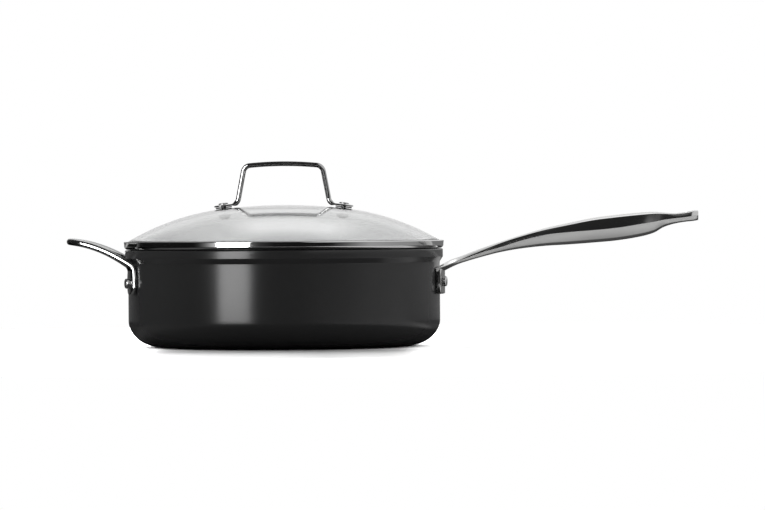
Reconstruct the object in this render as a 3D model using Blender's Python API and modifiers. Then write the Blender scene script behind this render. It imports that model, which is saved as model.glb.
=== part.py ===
"""Deep 26 cm saute pan with a domed glass lid, built as separate pieces at real size.

Metres, +Z up. The origin lies on the pan's axis at the underside of the base. The long
handle points along +X and the small helper handle along -X. Outlines of turned pieces are
(radius, height) points that run up the inner side and down the outer side.
"""
import math
from collections import namedtuple

import bmesh
import bpy
from mathutils import Matrix, Vector

# Clearances
GAP = 0.0003
LID_PLAY = 0.0006

# Facets of a full turn on large and on small round pieces
LARGE_TURN = 52
SMALL_TURN = 14

# Pan body
WALL_RADIUS = 0.1338
WALL_THICKNESS = 0.0038
RIM_HEIGHT = 0.0834
RIM_FLARE = 0.0027
RIM_BAND = 0.0070
RIM_SLOPE = 0.0043
RIM_ROUND = 0.0010
CORNER_WIDTH = 0.0272
CORNER_HEIGHT = 0.0225
FLOOR_THICKNESS = 0.0047

# Steel disc let into the underside, which stands a little proud of the base
DISC_RADIUS = 0.0920
DISC_THICKNESS = 0.0022
DISC_PROUD = 0.0003
DISC_ROUND = 0.0004

# Rivets of both pan handles
RIVET_DROP = 0.0281
RIVET_SHANK = 0.0025
RIVET_HEAD = 0.0043
RIVET_HEAD_HEIGHT = 0.0034
RIVET_HEAD_ROUND = 0.0018
RIVET_TAIL = 0.0055
RIVET_TAIL_HEIGHT = 0.0012
RIVET_TAIL_ROUND = 0.0006

# Long handle: a cast bar on a curved wall plate
LONG_REACH = 0.2219
LONG_RISE = 0.0593
LONG_DEPTH = 0.0220
LONG_WIDTH = 0.0328
LONG_EDGE = 0.0006
LONG_SECTIONS = 28
LONG_PLATE_WIDTH = 0.0660
LONG_PLATE_HEIGHT = 0.0215
LONG_PLATE_THICKNESS = 0.0042
LONG_PLATE_CORNER = 0.0040
LONG_PLATE_EDGE = 0.0009
LONG_RIVET_INSET = 0.0085
LONG_WRAP = 0.0250
HANG_HOLE_LENGTH = 0.0135
HANG_HOLE_WIDTH = 0.0105
HANG_HOLE_INSET = 0.0065

# Helper handle: a bent loop on two feet
HELPER_REACH = 0.0527
HELPER_TIP_RISE = 0.0361
HELPER_ELBOW_REACH = 0.0232
HELPER_ELBOW_RISE = 0.0330
HELPER_KNEE_RISE = 0.0138
HELPER_ELBOW_RADIUS = 0.0740
HELPER_KNEE_RADIUS = 0.0090
HELPER_THICKNESS = 0.0060
HELPER_ROUND = 0.0022
HELPER_FOOT_THICKNESS = 0.0040
HELPER_FOOT_WIDTH = 0.0152
HELPER_FOOT_DROP = 0.0093
HELPER_FOOT_HEIGHT = 0.0200
HELPER_LEG_WIDTH = 0.0092
HELPER_GRIP_WIDTH = 0.0180
HELPER_RIVET_SPACING = 0.0880
HELPER_SECTIONS = 36

# Lid glass: a crown arc that runs into a tighter shoulder arc, which ends proud of the band
CROWN_RADIUS = 0.4500
SHOULDER_START = 0.0500
SHOULDER_RADIUS = 0.2100
GLASS_THICKNESS = 0.0040
GLASS_PROUD = 0.0005
GLASS_BEVEL = 0.0007
REBATE_WIDTH = 0.0014

# Folded steel band that holds the glass edge and stands on the rim
BAND_OVERHANG = 0.0009
BAND_HEIGHT = 0.0073
BAND_SHEET = 0.0007
BAND_LIP = 0.0045
BAND_ROUND = 0.0006
BAND_TAPER = 0.0003
BAND_TURN = 0.0025
SKIRT_DEPTH = 0.0050
SEAL_THICKNESS = 0.0011
SEAL_CHAMFER = 0.0002

# Lid handle: a bent strap with one rivet through each foot
GRIP_RISE = 0.0374
GRIP_HALF_SPAN = 0.0334
GRIP_CROWN_RADIUS = 0.3000
GRIP_CROWN_ANGLE = math.radians(5.4)
GRIP_CORNER_RADIUS = 0.0065
GRIP_WIDTH = 0.0200
STRAP_THICKNESS = 0.0042
STRAP_ROUND = 0.0014
LEG_BASE = 0.0396
LEG_BEND_RADIUS = 0.0055
LEG_WIDTH = 0.0124
FOOT_WIDTH = 0.0150
FOOT_THICKNESS = 0.0017
FOOT_OVERHANG = 0.0082
LID_RIVET_SPREAD = 0.0514

# Stack of parts on each lid rivet
LID_RIVET_SHANK = 0.0020
LID_RIVET_HEAD = 0.0041
LID_RIVET_HEAD_HEIGHT = 0.0014
LID_RIVET_HEAD_ROUND = 0.0011
LID_RIVET_TAIL = 0.0036
LID_RIVET_TAIL_HEIGHT = 0.0013
LID_RIVET_TAIL_ROUND = 0.0009
FOOT_GASKET_RADIUS = 0.0053
FOOT_GASKET_THICKNESS = 0.0010
UNDER_GASKET_RADIUS = 0.0052
UNDER_GASKET_THICKNESS = 0.0010
WASHER_RADIUS = 0.0050
WASHER_THICKNESS = 0.0008

# Sizes that follow from those above
RIVET_LEVEL = RIM_HEIGHT - RIVET_DROP
INNER_RADIUS = WALL_RADIUS - WALL_THICKNESS
RIM_RADIUS = WALL_RADIUS + RIM_FLARE
RIM_INNER_RADIUS = INNER_RADIUS + RIM_FLARE
FLOOR_LEVEL = DISC_PROUD + FLOOR_THICKNESS
CORNER_RADIUS_START = WALL_RADIUS - CORNER_WIDTH
CORNER_LEVEL = DISC_PROUD + CORNER_HEIGHT
SEAT_RADIUS = WALL_RADIUS + GAP
BAND_RADIUS = RIM_RADIUS + BAND_OVERHANG
BAND_TOP = RIM_HEIGHT + BAND_HEIGHT
LIP_RADIUS = BAND_RADIUS - BAND_LIP
LONG_RIVET_SPACING = LONG_PLATE_WIDTH - 2.0 * LONG_RIVET_INSET

# Lean of the glass where its two arcs meet, and how far each arc falls below the crown
JUNCTION_LEAN = math.asin(SHOULDER_START / CROWN_RADIUS)
SHOULDER_CENTRE = SHOULDER_START - SHOULDER_RADIUS * math.sin(JUNCTION_LEAN)
CROWN_FALL = CROWN_RADIUS * (1.0 - math.cos(JUNCTION_LEAN))
SHOULDER_FALL = (SHOULDER_RADIUS * math.cos(JUNCTION_LEAN)
                 - math.sqrt(SHOULDER_RADIUS ** 2 - (LIP_RADIUS - SHOULDER_CENTRE) ** 2))
CROWN_LEVEL = BAND_TOP + GLASS_PROUD + SHOULDER_FALL + CROWN_FALL

# One cross section of the long handle, as shares of its named sizes: along the reach, top
# above the rivets, depth below the top, crease below the top as a share of the depth,
# width across the crease, and width of the keel as a share of that width
Section = namedtuple("Section", "along top depth crease width keel")
LONG_HANDLE_SECTIONS = [
    Section(0.005, 0.236, 0.330, 0.38, 2.20, 0.90),
    Section(0.025, 0.275, 0.320, 0.37, 1.46, 0.85),
    Section(0.048, 0.312, 0.295, 0.43, 0.82, 0.75),
    Section(0.080, 0.352, 0.270, 0.41, 0.60, 0.70),
    Section(0.147, 0.447, 0.325, 0.45, 0.54, 0.65),
    Section(0.232, 0.557, 0.405, 0.52, 0.56, 0.50),
    Section(0.313, 0.653, 0.522, 0.41, 0.67, 0.36),
    Section(0.405, 0.751, 0.688, 0.38, 0.84, 0.28),
    Section(0.498, 0.827, 0.842, 0.43, 0.95, 0.24),
    Section(0.592, 0.897, 0.965, 0.50, 1.00, 0.22),
    Section(0.686, 0.940, 1.000, 0.51, 0.99, 0.22),
    Section(0.776, 0.970, 0.938, 0.48, 0.92, 0.24),
    Section(0.830, 0.980, 0.815, 0.48, 0.84, 0.30),
    Section(0.866, 0.970, 0.582, 0.50, 0.79, 0.45),
    Section(0.907, 0.958, 0.418, 0.49, 0.76, 0.70),
    Section(0.952, 0.973, 0.382, 0.50, 0.73, 0.80),
    Section(0.986, 0.998, 0.415, 0.52, 0.66, 0.80),
    Section(1.000, 0.996, 0.380, 0.52, 0.48, 0.80),
]

Finish = namedtuple("Finish", "name colour roughness metallic")
HARD_BLACK = Finish("hard_black_aluminium", (0.030, 0.030, 0.032), 0.38, 0.30)
BASE_STEEL = Finish("base_steel", (0.55, 0.55, 0.54), 0.32, 1.0)
CAST_STEEL = Finish("cast_steel", (0.66, 0.66, 0.66), 0.22, 1.0)
RIVET_STEEL = Finish("rivet_steel", (0.60, 0.60, 0.60), 0.25, 1.0)
BAND_STEEL = Finish("band_steel", (0.70, 0.70, 0.70), 0.12, 1.0)
LID_GLASS = Finish("lid_glass", (0.82, 0.83, 0.83), 0.05, 0.0)
CLEAR_SILICONE = Finish("clear_silicone", (0.62, 0.62, 0.60), 0.45, 0.0)
BLACK_SILICONE = Finish("black_silicone", (0.02, 0.02, 0.02), 0.60, 0.0)


def new_collection(name):
    """A collection linked to the scene."""
    group = bpy.data.collections.new(name)
    bpy.context.scene.collection.children.link(group)
    return group


def clear_scene():
    """Remove whatever the scene holds, so that only this model is in it."""
    for item in list(bpy.data.objects):
        bpy.data.objects.remove(item, do_unlink=True)


clear_scene()
PARTS = new_collection("saute_pan_with_lid")
CUTTERS = new_collection("cutters")


def finish_material(finish):
    """The finish's material, made once."""
    made = bpy.data.materials.get(finish.name)
    if made:
        return made
    made = bpy.data.materials.new(finish.name)
    made.use_nodes = True
    shader = made.node_tree.nodes["Principled BSDF"]
    shader.inputs["Base Color"].default_value = (*finish.colour, 1.0)
    shader.inputs["Roughness"].default_value = finish.roughness
    shader.inputs["Metallic"].default_value = finish.metallic
    made.diffuse_color = (*finish.colour, 1.0)
    return made


def add_piece(name, mesh, finish, location=(0.0, 0.0, 0.0), rotation=(0.0, 0.0, 0.0)):
    """A named sub-part in the model's collection."""
    piece = bpy.data.objects.new(name, mesh)
    mesh.materials.append(finish_material(finish))
    piece.location = location
    piece.rotation_euler = rotation
    PARTS.objects.link(piece)
    return piece


def add_cutter(name, mesh, location=(0.0, 0.0, 0.0), rotation=(0.0, 0.0, 0.0)):
    """A guide that cuts or joins another piece and is no part of the model."""
    cutter = bpy.data.objects.new(name, mesh)
    cutter.location = location
    cutter.rotation_euler = rotation
    cutter.hide_render = True
    cutter.display_type = "WIRE"
    CUTTERS.objects.link(cutter)
    return cutter


def boolean(piece, tool, operation):
    """Cut the tool out of the piece, or join it to the piece."""
    modifier = piece.modifiers.new(tool.name, "BOOLEAN")
    modifier.operation = operation
    modifier.object = tool


def turned(name, outline, finish, closed=False, turn=LARGE_TURN, location=(0.0, 0.0, 0.0),
           rotation=(0.0, 0.0, 0.0)):
    """A solid of revolution about its own Z axis."""
    mesh = bpy.data.meshes.new(name)
    edges = [(step, step + 1) for step in range(len(outline) - 1)]
    if closed:
        edges.append((len(outline) - 1, 0))
    mesh.from_pydata([(radius, 0.0, height) for radius, height in outline], edges, [])
    piece = add_piece(name, mesh, finish, location, rotation)
    screw = piece.modifiers.new("turn", "SCREW")
    screw.axis = "Z"
    screw.angle = 2.0 * math.pi
    screw.steps = turn
    screw.render_steps = turn
    screw.use_merge_vertices = True
    screw.merge_threshold = 0.00001
    screw.use_smooth_shade = True
    return piece


def drill(name, radius, length, location, rotation):
    """A round cutter, centred on its place, along its own Z axis."""
    shape = bmesh.new()
    bmesh.ops.create_cone(shape, cap_ends=True, segments=SMALL_TURN, radius1=radius,
                          radius2=radius, depth=length)
    mesh = bpy.data.meshes.new(name)
    shape.to_mesh(mesh)
    shape.free()
    return add_cutter(name, mesh, location, rotation)


def arc(centre, radii, start, end, steps):
    """Points of an elliptical arc between two angles in degrees, both ends included."""
    points = []
    for step in range(steps + 1):
        angle = math.radians(start + (end - start) * step / steps)
        points.append((centre[0] + radii[0] * math.cos(angle),
                       centre[1] + radii[1] * math.sin(angle)))
    return points


def capped_pin(head, head_height, head_round, shank, tail, tail_height, tail_round,
               head_seat, tail_seat):
    """Outline of a rivet: its head stands on head_seat and its tail hangs under tail_seat."""
    top = head_seat + head_height
    bottom = tail_seat - tail_height
    points = [(0.0, top)]
    points += arc((head - head_round, top - head_round), (head_round, head_round), 90, 0, 2)
    points += [(head, head_seat), (shank, head_seat), (shank, tail_seat), (tail, tail_seat)]
    points += arc((tail - tail_round, bottom + tail_round), (tail_round, tail_round), 0, -90, 2)
    points.append((0.0, bottom))
    return points


def ring_outline(inner, outer, bottom, top):
    """Closed outline of a flat ring."""
    return [(inner, bottom), (inner, top), (outer, top), (outer, bottom)]


def smooth_value(places, values, place):
    """Value at one place on a smooth curve through the given places and values."""
    index = 0
    while index < len(places) - 2 and place > places[index + 1]:
        index += 1
    span = places[index + 1] - places[index]

    def slope(at):
        before = max(at - 1, 0)
        after = min(at + 1, len(places) - 1)
        return (values[after] - values[before]) / (places[after] - places[before])

    share = (place - places[index]) / span
    rest = 1.0 - share
    return (values[index] * rest * rest * (1.0 + 2.0 * share)
            + values[index + 1] * share * share * (1.0 + 2.0 * rest)
            + span * slope(index) * share * rest * rest
            - span * slope(index + 1) * share * share * rest)


def ease(share):
    """Smooth step from 0 to 1, held outside."""
    share = min(max(share, 0.0), 1.0)
    return share * share * (3.0 - 2.0 * share)


class Track:
    """A side view path: straight runs joined by arcs, read by distance along it."""

    def __init__(self, corners, radii, steps=4):
        self.points = [Vector(corners[0])]
        for index in range(1, len(corners) - 1):
            self.points += self.corner_arc(corners, index, radii[index - 1], steps)
        self.points.append(Vector(corners[-1]))
        self.marks = [0.0]
        for before, after in zip(self.points, self.points[1:]):
            self.marks.append(self.marks[-1] + (after - before).length)
        self.length = self.marks[-1]

    @staticmethod
    def corner_arc(corners, index, radius, steps):
        """Arc that rounds one corner."""
        corner = Vector(corners[index])
        inward = (Vector(corners[index - 1]) - corner).normalized()
        outward = (Vector(corners[index + 1]) - corner).normalized()
        half = inward.angle(outward) / 2.0
        middle = (inward + outward).normalized()
        centre = corner + middle * (radius / math.sin(half))
        sweep = math.pi - 2.0 * half
        first = corner + inward * (radius / math.tan(half)) - centre
        sign = 1.0 if first.x * outward.y - first.y * outward.x > 0.0 else -1.0
        points = []
        for step in range(steps + 1):
            turn = Matrix.Rotation(sign * sweep * step / steps, 2)
            points.append(centre + turn @ first)
        return points

    def at(self, distance):
        """Point and left-hand normal at a distance along the path."""
        distance = min(max(distance, 0.0), self.length)
        index = 0
        while index < len(self.marks) - 2 and distance > self.marks[index + 1]:
            index += 1
        share = (distance - self.marks[index]) / (self.marks[index + 1] - self.marks[index])
        point = self.points[index].lerp(self.points[index + 1], share)
        normal = self.node_normal(index).lerp(self.node_normal(index + 1), share).normalized()
        return point, normal

    def node_normal(self, index):
        """Left-hand normal at one of the path's own points."""
        before = self.points[max(index - 1, 0)]
        after = self.points[min(index + 1, len(self.points) - 1)]
        along = (after - before).normalized()
        return Vector((-along.y, along.x))


def blank(outline, thickness, edge_round, fold_lines):
    """A flat plate with rounded edges, centred on its mid plane, split at the fold lines."""
    shape = bmesh.new()
    corners = [shape.verts.new((u, v, -thickness / 2.0)) for u, v in outline]
    lower = shape.faces.new(corners)
    raised = bmesh.ops.extrude_face_region(shape, geom=[lower])["geom"]
    lifted = [item for item in raised if isinstance(item, bmesh.types.BMVert)]
    bmesh.ops.translate(shape, verts=lifted, vec=(0.0, 0.0, thickness))
    bmesh.ops.recalc_face_normals(shape, faces=shape.faces[:])
    rims = [edge for edge in shape.edges
            if abs(edge.verts[0].co.z - edge.verts[1].co.z) < thickness / 2.0]
    bmesh.ops.bevel(shape, geom=rims, offset=edge_round, segments=2, profile=0.5,
                    affect="EDGES", material=-1)
    for place in fold_lines:
        everything = shape.verts[:] + shape.edges[:] + shape.faces[:]
        bmesh.ops.bisect_plane(shape, geom=everything, dist=0.0000001,
                               plane_co=(place, 0.0, 0.0), plane_no=(1.0, 0.0, 0.0))
    bmesh.ops.triangulate(shape, faces=shape.faces[:])
    return shape


def bent_mesh(name, shape, bend):
    """Mesh of a blank after its bend function has moved every corner."""
    for vert in shape.verts:
        vert.co = bend(*vert.co)
    bmesh.ops.recalc_face_normals(shape, faces=shape.faces[:])
    mesh = bpy.data.meshes.new(name)
    shape.to_mesh(mesh)
    shape.free()
    mesh.shade_smooth()
    mesh.set_sharp_from_angle(angle=math.radians(40))
    return mesh


def close_end(shape, row):
    """Close one end of a loft in strips across it, so that a curved end stays curved."""
    count = len(row)
    half = count // 2
    for side in (1, -1):
        for step in range(half // 2):
            corners = dict.fromkeys((step, step + 1, half - step - 1, half - step))
            shape.faces.new([row[(side * corner) % count] for corner in corners])


def loft_mesh(name, rings):
    """Closed mesh through equal rings of points."""
    shape = bmesh.new()
    rows = [[shape.verts.new(point) for point in ring] for ring in rings]
    count = len(rows[0])
    for row, following in zip(rows, rows[1:]):
        for step in range(count):
            after = (step + 1) % count
            shape.faces.new((row[step], row[after], following[after], following[step]))
    close_end(shape, rows[0])
    close_end(shape, rows[-1])
    bmesh.ops.recalc_face_normals(shape, faces=shape.faces[:])
    mesh = bpy.data.meshes.new(name)
    shape.to_mesh(mesh)
    shape.free()
    mesh.shade_smooth()
    mesh.set_sharp_from_angle(angle=math.radians(40))
    return mesh


def rounded_bar(half_width, half_height, edge_round):
    """Ring of a rounded rectangle, corners of three points each."""
    edge_round = min(edge_round, half_width * 0.95, half_height * 0.95)
    ring = []
    for side, level, start in ((1, 1, 0), (-1, 1, 90), (-1, -1, 180), (1, -1, 270)):
        centre = (side * (half_width - edge_round), level * (half_height - edge_round))
        ring += arc(centre, (edge_round, edge_round), start, start + 90, 2)
    return ring


def pan_outline():
    """Pan wall, rim and floor, with the recess for the disc in its underside."""
    inner_corner = (CORNER_WIDTH - WALL_THICKNESS, CORNER_LEVEL - FLOOR_LEVEL)
    slope_top = RIM_HEIGHT - RIM_BAND
    slope_foot = slope_top - RIM_SLOPE
    round_level = RIM_HEIGHT - RIM_ROUND
    rounding = (RIM_ROUND, RIM_ROUND)
    recess_radius = DISC_RADIUS + GAP
    recess_level = DISC_THICKNESS + GAP
    points = [(0.0, FLOOR_LEVEL)]
    points += arc((CORNER_RADIUS_START, CORNER_LEVEL), inner_corner, -90, 0, 4)
    points += [(INNER_RADIUS, slope_foot), (RIM_INNER_RADIUS, slope_top)]
    points += arc((RIM_INNER_RADIUS + RIM_ROUND, round_level), rounding, 180, 90, 2)
    points += arc((RIM_RADIUS - RIM_ROUND, round_level), rounding, 90, 0, 2)
    points += [(RIM_RADIUS, slope_top), (WALL_RADIUS, slope_foot)]
    points += arc((CORNER_RADIUS_START, CORNER_LEVEL), (CORNER_WIDTH, CORNER_HEIGHT), 0, -90, 6)
    points += [(recess_radius, DISC_PROUD), (recess_radius, recess_level), (0.0, recess_level)]
    return points


def radial_place(radius, angle):
    """Place and rotation of a piece whose Z axis points outward through the wall."""
    location = (radius * math.cos(angle), radius * math.sin(angle), RIVET_LEVEL)
    return location, (0.0, math.pi / 2.0, angle)


def rivet_angle(spacing, plate_thickness):
    """Angle of one rivet of a pair, off the middle of its handle."""
    return math.asin(spacing / 2.0 / (SEAT_RADIUS + plate_thickness))


def wall_rivet(name, angle, plate_thickness):
    """A rivet through a handle's plate and the pan wall, with its tail inside the pan."""
    head_seat = SEAT_RADIUS + plate_thickness + GAP
    facet_inset = INNER_RADIUS * (1.0 - math.cos(math.pi / LARGE_TURN))
    tail_seat = math.sqrt(INNER_RADIUS ** 2 - RIVET_TAIL ** 2) - facet_inset - GAP / 2.0
    outline = capped_pin(RIVET_HEAD, RIVET_HEAD_HEIGHT, RIVET_HEAD_ROUND, RIVET_SHANK,
                         RIVET_TAIL, RIVET_TAIL_HEIGHT, RIVET_TAIL_ROUND,
                         head_seat - tail_seat, 0.0)
    location, rotation = radial_place(tail_seat, angle)
    return turned(name, outline, RIVET_STEEL, turn=SMALL_TURN, location=location,
                  rotation=rotation)


def rivet_hole(piece, name, angle, plate_thickness):
    """Cut the clearance hole of a wall rivet in the pan or in a handle."""
    location, rotation = radial_place(WALL_RADIUS, angle)
    length = 4.0 * (WALL_THICKNESS + plate_thickness)
    boolean(piece, drill(name, RIVET_SHANK + GAP, length, location, rotation), "DIFFERENCE")


def make_pan_body():
    """The black pan with the holes for its four rivets."""
    body = turned("pan_body", pan_outline(), HARD_BLACK)
    long_angle = rivet_angle(LONG_RIVET_SPACING, LONG_PLATE_THICKNESS)
    helper_angle = rivet_angle(HELPER_RIVET_SPACING, HELPER_FOOT_THICKNESS)
    for number, side in enumerate((-1.0, 1.0)):
        rivet_hole(body, f"pan_hole_long_{number}", side * long_angle, LONG_PLATE_THICKNESS)
        rivet_hole(body, f"pan_hole_helper_{number}", math.pi + side * helper_angle,
                   HELPER_FOOT_THICKNESS)
    return body


def make_base_disc():
    """The steel disc in the underside."""
    edge = (DISC_ROUND, DISC_ROUND)
    middle = DISC_RADIUS - DISC_ROUND
    points = [(0.0, DISC_THICKNESS)]
    points += arc((middle, DISC_THICKNESS - DISC_ROUND), edge, 90, 0, 1)
    points += arc((middle, DISC_ROUND), edge, 0, -90, 1)
    points.append((0.0, 0.0))
    return turned("base_disc", points, BASE_STEEL)


def long_handle_ring(along):
    """One cross section of the long handle, wrapped on the wall near its root."""
    shares = [section.along for section in LONG_HANDLE_SECTIONS]

    def value(column):
        return smooth_value(shares, [getattr(section, column)
                                     for section in LONG_HANDLE_SECTIONS], along)

    reach = LONG_REACH * along
    top = RIVET_LEVEL + LONG_RISE * value("top")
    depth = LONG_DEPTH * value("depth")
    half = LONG_WIDTH * value("width") / 2.0
    keel = half * value("keel")
    crease = top - depth * value("crease")
    bottom = top - depth
    crown = 0.09 * depth
    side = [
        (0.0, top),
        (0.52 * half, top - 0.28 * crown),
        (0.84 * half, top - crown),
        (0.91 * half, top - crown - LONG_EDGE),
        (half, crease + LONG_EDGE),
        (half - LONG_EDGE, crease - LONG_EDGE),
        (keel + 0.28 * (half - keel), bottom + 0.22 * (crease - bottom)),
        (0.72 * keel, bottom + 0.03 * depth),
        (0.0, bottom),
    ]
    outline = side + [(-across, level) for across, level in reversed(side[1:-1])]
    wrap = 1.0 - ease(reach / LONG_WRAP)
    ring = []
    for across, level in outline:
        held = min(abs(across), SEAT_RADIUS)
        fall = SEAT_RADIUS - math.sqrt(SEAT_RADIUS ** 2 - held ** 2)
        ring.append((WALL_RADIUS + reach - wrap * fall, across, level))
    return ring


def wall_plate(name, width, height, thickness, corner_round, edge_round):
    """A plate with rounded corners, curved to lie on the wall at +X."""
    half_width = width / 2.0 - corner_round
    half_height = height / 2.0 - corner_round
    outline = []
    for side, level, start in ((1, 1, 0), (-1, 1, 90), (-1, -1, 180), (1, -1, 270)):
        outline += arc((side * half_width, level * half_height), (corner_round, corner_round),
                       start, start + 90, 3)
    folds = 18
    lines = [width * (step / folds - 0.5) for step in range(1, folds)]
    middle = SEAT_RADIUS + thickness / 2.0

    def bend(along, level, lift):
        angle = along / middle
        radius = middle + lift
        return (radius * math.cos(angle), radius * math.sin(angle), RIVET_LEVEL + level)

    return bent_mesh(name, blank(outline, thickness, edge_round, lines), bend)


def hang_hole():
    """Cutter for the long round-ended hole near the tip of the long handle."""
    end = HANG_HOLE_WIDTH / 2.0
    middle = HANG_HOLE_LENGTH / 2.0 - end
    outline = arc((middle, 0.0), (end, end), -90, 90, 6)
    outline += arc((-middle, 0.0), (end, end), 90, 270, 6)
    centre = WALL_RADIUS + LONG_REACH - HANG_HOLE_INSET - HANG_HOLE_LENGTH / 2.0
    shape = blank(outline, LONG_RISE, 0.0, [])
    level = RIVET_LEVEL + LONG_RISE

    def place(along, across, lift):
        return (centre + along, across, level + lift)

    return add_cutter("hang_hole", bent_mesh("hang_hole", shape, place))


def make_long_handle():
    """The cast long handle: bar, hanging hole and riveted wall plate in one."""
    first = LONG_HANDLE_SECTIONS[0].along
    rings = []
    for step in range(LONG_SECTIONS + 1):
        rings.append(long_handle_ring(first + (1.0 - first) * step / LONG_SECTIONS))
    root = rings[0]
    near_root = long_handle_ring(first + 0.3 / LONG_SECTIONS)
    handle = add_piece("long_handle", loft_mesh("long_handle", [root, near_root] + rings[1:]),
                       CAST_STEEL)
    plate = wall_plate("long_handle_plate", LONG_PLATE_WIDTH, LONG_PLATE_HEIGHT,
                       LONG_PLATE_THICKNESS, LONG_PLATE_CORNER, LONG_PLATE_EDGE)
    boolean(handle, add_cutter("long_handle_plate", plate), "UNION")
    boolean(handle, hang_hole(), "DIFFERENCE")
    angle = rivet_angle(LONG_RIVET_SPACING, LONG_PLATE_THICKNESS)
    for number, side in enumerate((-1.0, 1.0)):
        rivet_hole(handle, f"long_handle_hole_{number}", side * angle, LONG_PLATE_THICKNESS)
    return handle


def helper_track():
    """Side view path of the helper handle, as distance from the axis and height."""
    foot = SEAT_RADIUS + HELPER_FOOT_THICKNESS / 2.0
    corners = [
        (foot, RIVET_LEVEL - HELPER_FOOT_DROP),
        (foot, RIVET_LEVEL + HELPER_KNEE_RISE),
        (WALL_RADIUS + HELPER_ELBOW_REACH, RIVET_LEVEL + HELPER_ELBOW_RISE),
        (WALL_RADIUS + HELPER_REACH, RIVET_LEVEL + HELPER_TIP_RISE),
    ]
    return Track(corners, (HELPER_KNEE_RADIUS, HELPER_ELBOW_RADIUS))


def helper_stations(length):
    """Half of the loop laid flat: distance up, distance aside, half width and thickness."""
    aside = HELPER_RIVET_SPACING / 2.0
    foot = HELPER_FOOT_WIDTH / 2.0
    leg = HELPER_LEG_WIDTH / 2.0
    grip = HELPER_GRIP_WIDTH / 2.0
    top = HELPER_FOOT_HEIGHT
    thin = HELPER_FOOT_THICKNESS
    bar = HELPER_THICKNESS
    return [
        (0.0, aside, 0.60 * foot, thin),
        (0.04 * top, aside, 0.80 * foot, thin),
        (0.12 * top, aside, 0.94 * foot, thin),
        (0.25 * top, aside, foot, thin),
        (0.75 * top, aside, foot, thin),
        (top, aside, 0.88 * foot, thin),
        (1.30 * top, 0.975 * aside, 1.20 * leg, 0.5 * (thin + bar)),
        (0.44 * length, 0.91 * aside, leg, bar),
        (0.60 * length, 0.815 * aside, leg, bar),
        (length - 2.20 * grip, 0.715 * aside, 1.15 * leg, bar),
        (length - 1.56 * grip, 0.655 * aside, 0.68 * grip, bar),
        (length - 1.14 * grip, 0.50 * aside, 0.88 * grip, bar),
        (length - 1.02 * grip, 0.23 * aside, 0.98 * grip, bar),
        (length - grip, 0.0, grip, bar),
    ]


def make_helper_handle():
    """The loop handle opposite the long one, bent from a flat loop and set on the wall."""
    track = helper_track()
    half = helper_stations(track.length)
    whole = half + [(up, -aside, width, thick) for up, aside, width, thick in half[-2::-1]]
    places = [0.0]
    for before, after in zip(whole, whole[1:]):
        places.append(places[-1] + math.hypot(after[0] - before[0], after[1] - before[1]))

    def station(place):
        return [smooth_value(places, [row[column] for row in whole], place)
                for column in range(4)]

    def bend(up, aside, lift):
        point, normal = track.at(up)
        radius = point.x - lift * normal.x
        level = point.y - lift * normal.y
        fall = radius - math.sqrt(radius ** 2 - aside ** 2)
        wrap = 1.0 - ease((up - HELPER_FOOT_HEIGHT) / (track.length - HELPER_FOOT_HEIGHT))
        return (-(radius - wrap * fall), aside, level)

    end_steps = 3
    first_run = places[3]
    inner_run = places[-1] - 2.0 * first_run
    spots = [first_run * step / end_steps for step in range(end_steps)]
    spots += [first_run + inner_run * step / HELPER_SECTIONS
              for step in range(HELPER_SECTIONS + 1)]
    spots += [places[-1] - first_run * step / end_steps for step in reversed(range(end_steps))]
    rings = []
    for spot in spots:
        up, aside, half_width, thick = station(spot)
        step = places[-1] * 0.001
        ahead = station(min(spot + step, places[-1]))
        behind = station(max(spot - step, 0.0))
        along = Vector((ahead[0] - behind[0], ahead[1] - behind[1])).normalized()
        across = Vector((-along.y, along.x))
        ring = []
        for shift, lift in rounded_bar(half_width, thick / 2.0, HELPER_ROUND):
            ring.append(bend(up + across.x * shift, aside + across.y * shift, lift))
        rings.append(ring)
    handle = add_piece("helper_handle", loft_mesh("helper_handle", rings), CAST_STEEL)
    angle = rivet_angle(HELPER_RIVET_SPACING, HELPER_FOOT_THICKNESS)
    for number, side in enumerate((-1.0, 1.0)):
        rivet_hole(handle, f"helper_hole_{number}", math.pi + side * angle,
                   HELPER_FOOT_THICKNESS)
    return handle


def shoulder_base():
    """Height of the centre of the shoulder arc, which runs on smoothly from the crown arc."""
    return CROWN_LEVEL - CROWN_FALL - SHOULDER_RADIUS * math.cos(JUNCTION_LEAN)


def dome_level(radius, inset=0.0):
    """Height of the glass surface, or of a surface that lies deeper by the inset."""
    if radius <= (CROWN_RADIUS - inset) * math.sin(JUNCTION_LEAN):
        deep = CROWN_RADIUS - inset
        return CROWN_LEVEL - CROWN_RADIUS + math.sqrt(deep ** 2 - radius ** 2)
    deep = SHOULDER_RADIUS - inset
    return shoulder_base() + math.sqrt(deep ** 2 - (radius - SHOULDER_CENTRE) ** 2)


def dome_lean(radius):
    """Angle of the glass surface off level, where a piece stands on it."""
    if radius <= SHOULDER_START:
        return math.asin(radius / CROWN_RADIUS)
    return math.asin((radius - SHOULDER_CENTRE) / SHOULDER_RADIUS)


def glass_edge():
    """Named radii and heights of the ground edge of the glass inside the band."""
    outer = LIP_RADIUS + REBATE_WIDTH
    rebate = BAND_TOP - BAND_SHEET - GAP
    ground = BAND_TOP - BAND_SHEET - GLASS_THICKNESS + 0.5 * GAP
    return LIP_RADIUS - GAP, outer, rebate, ground


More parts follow.
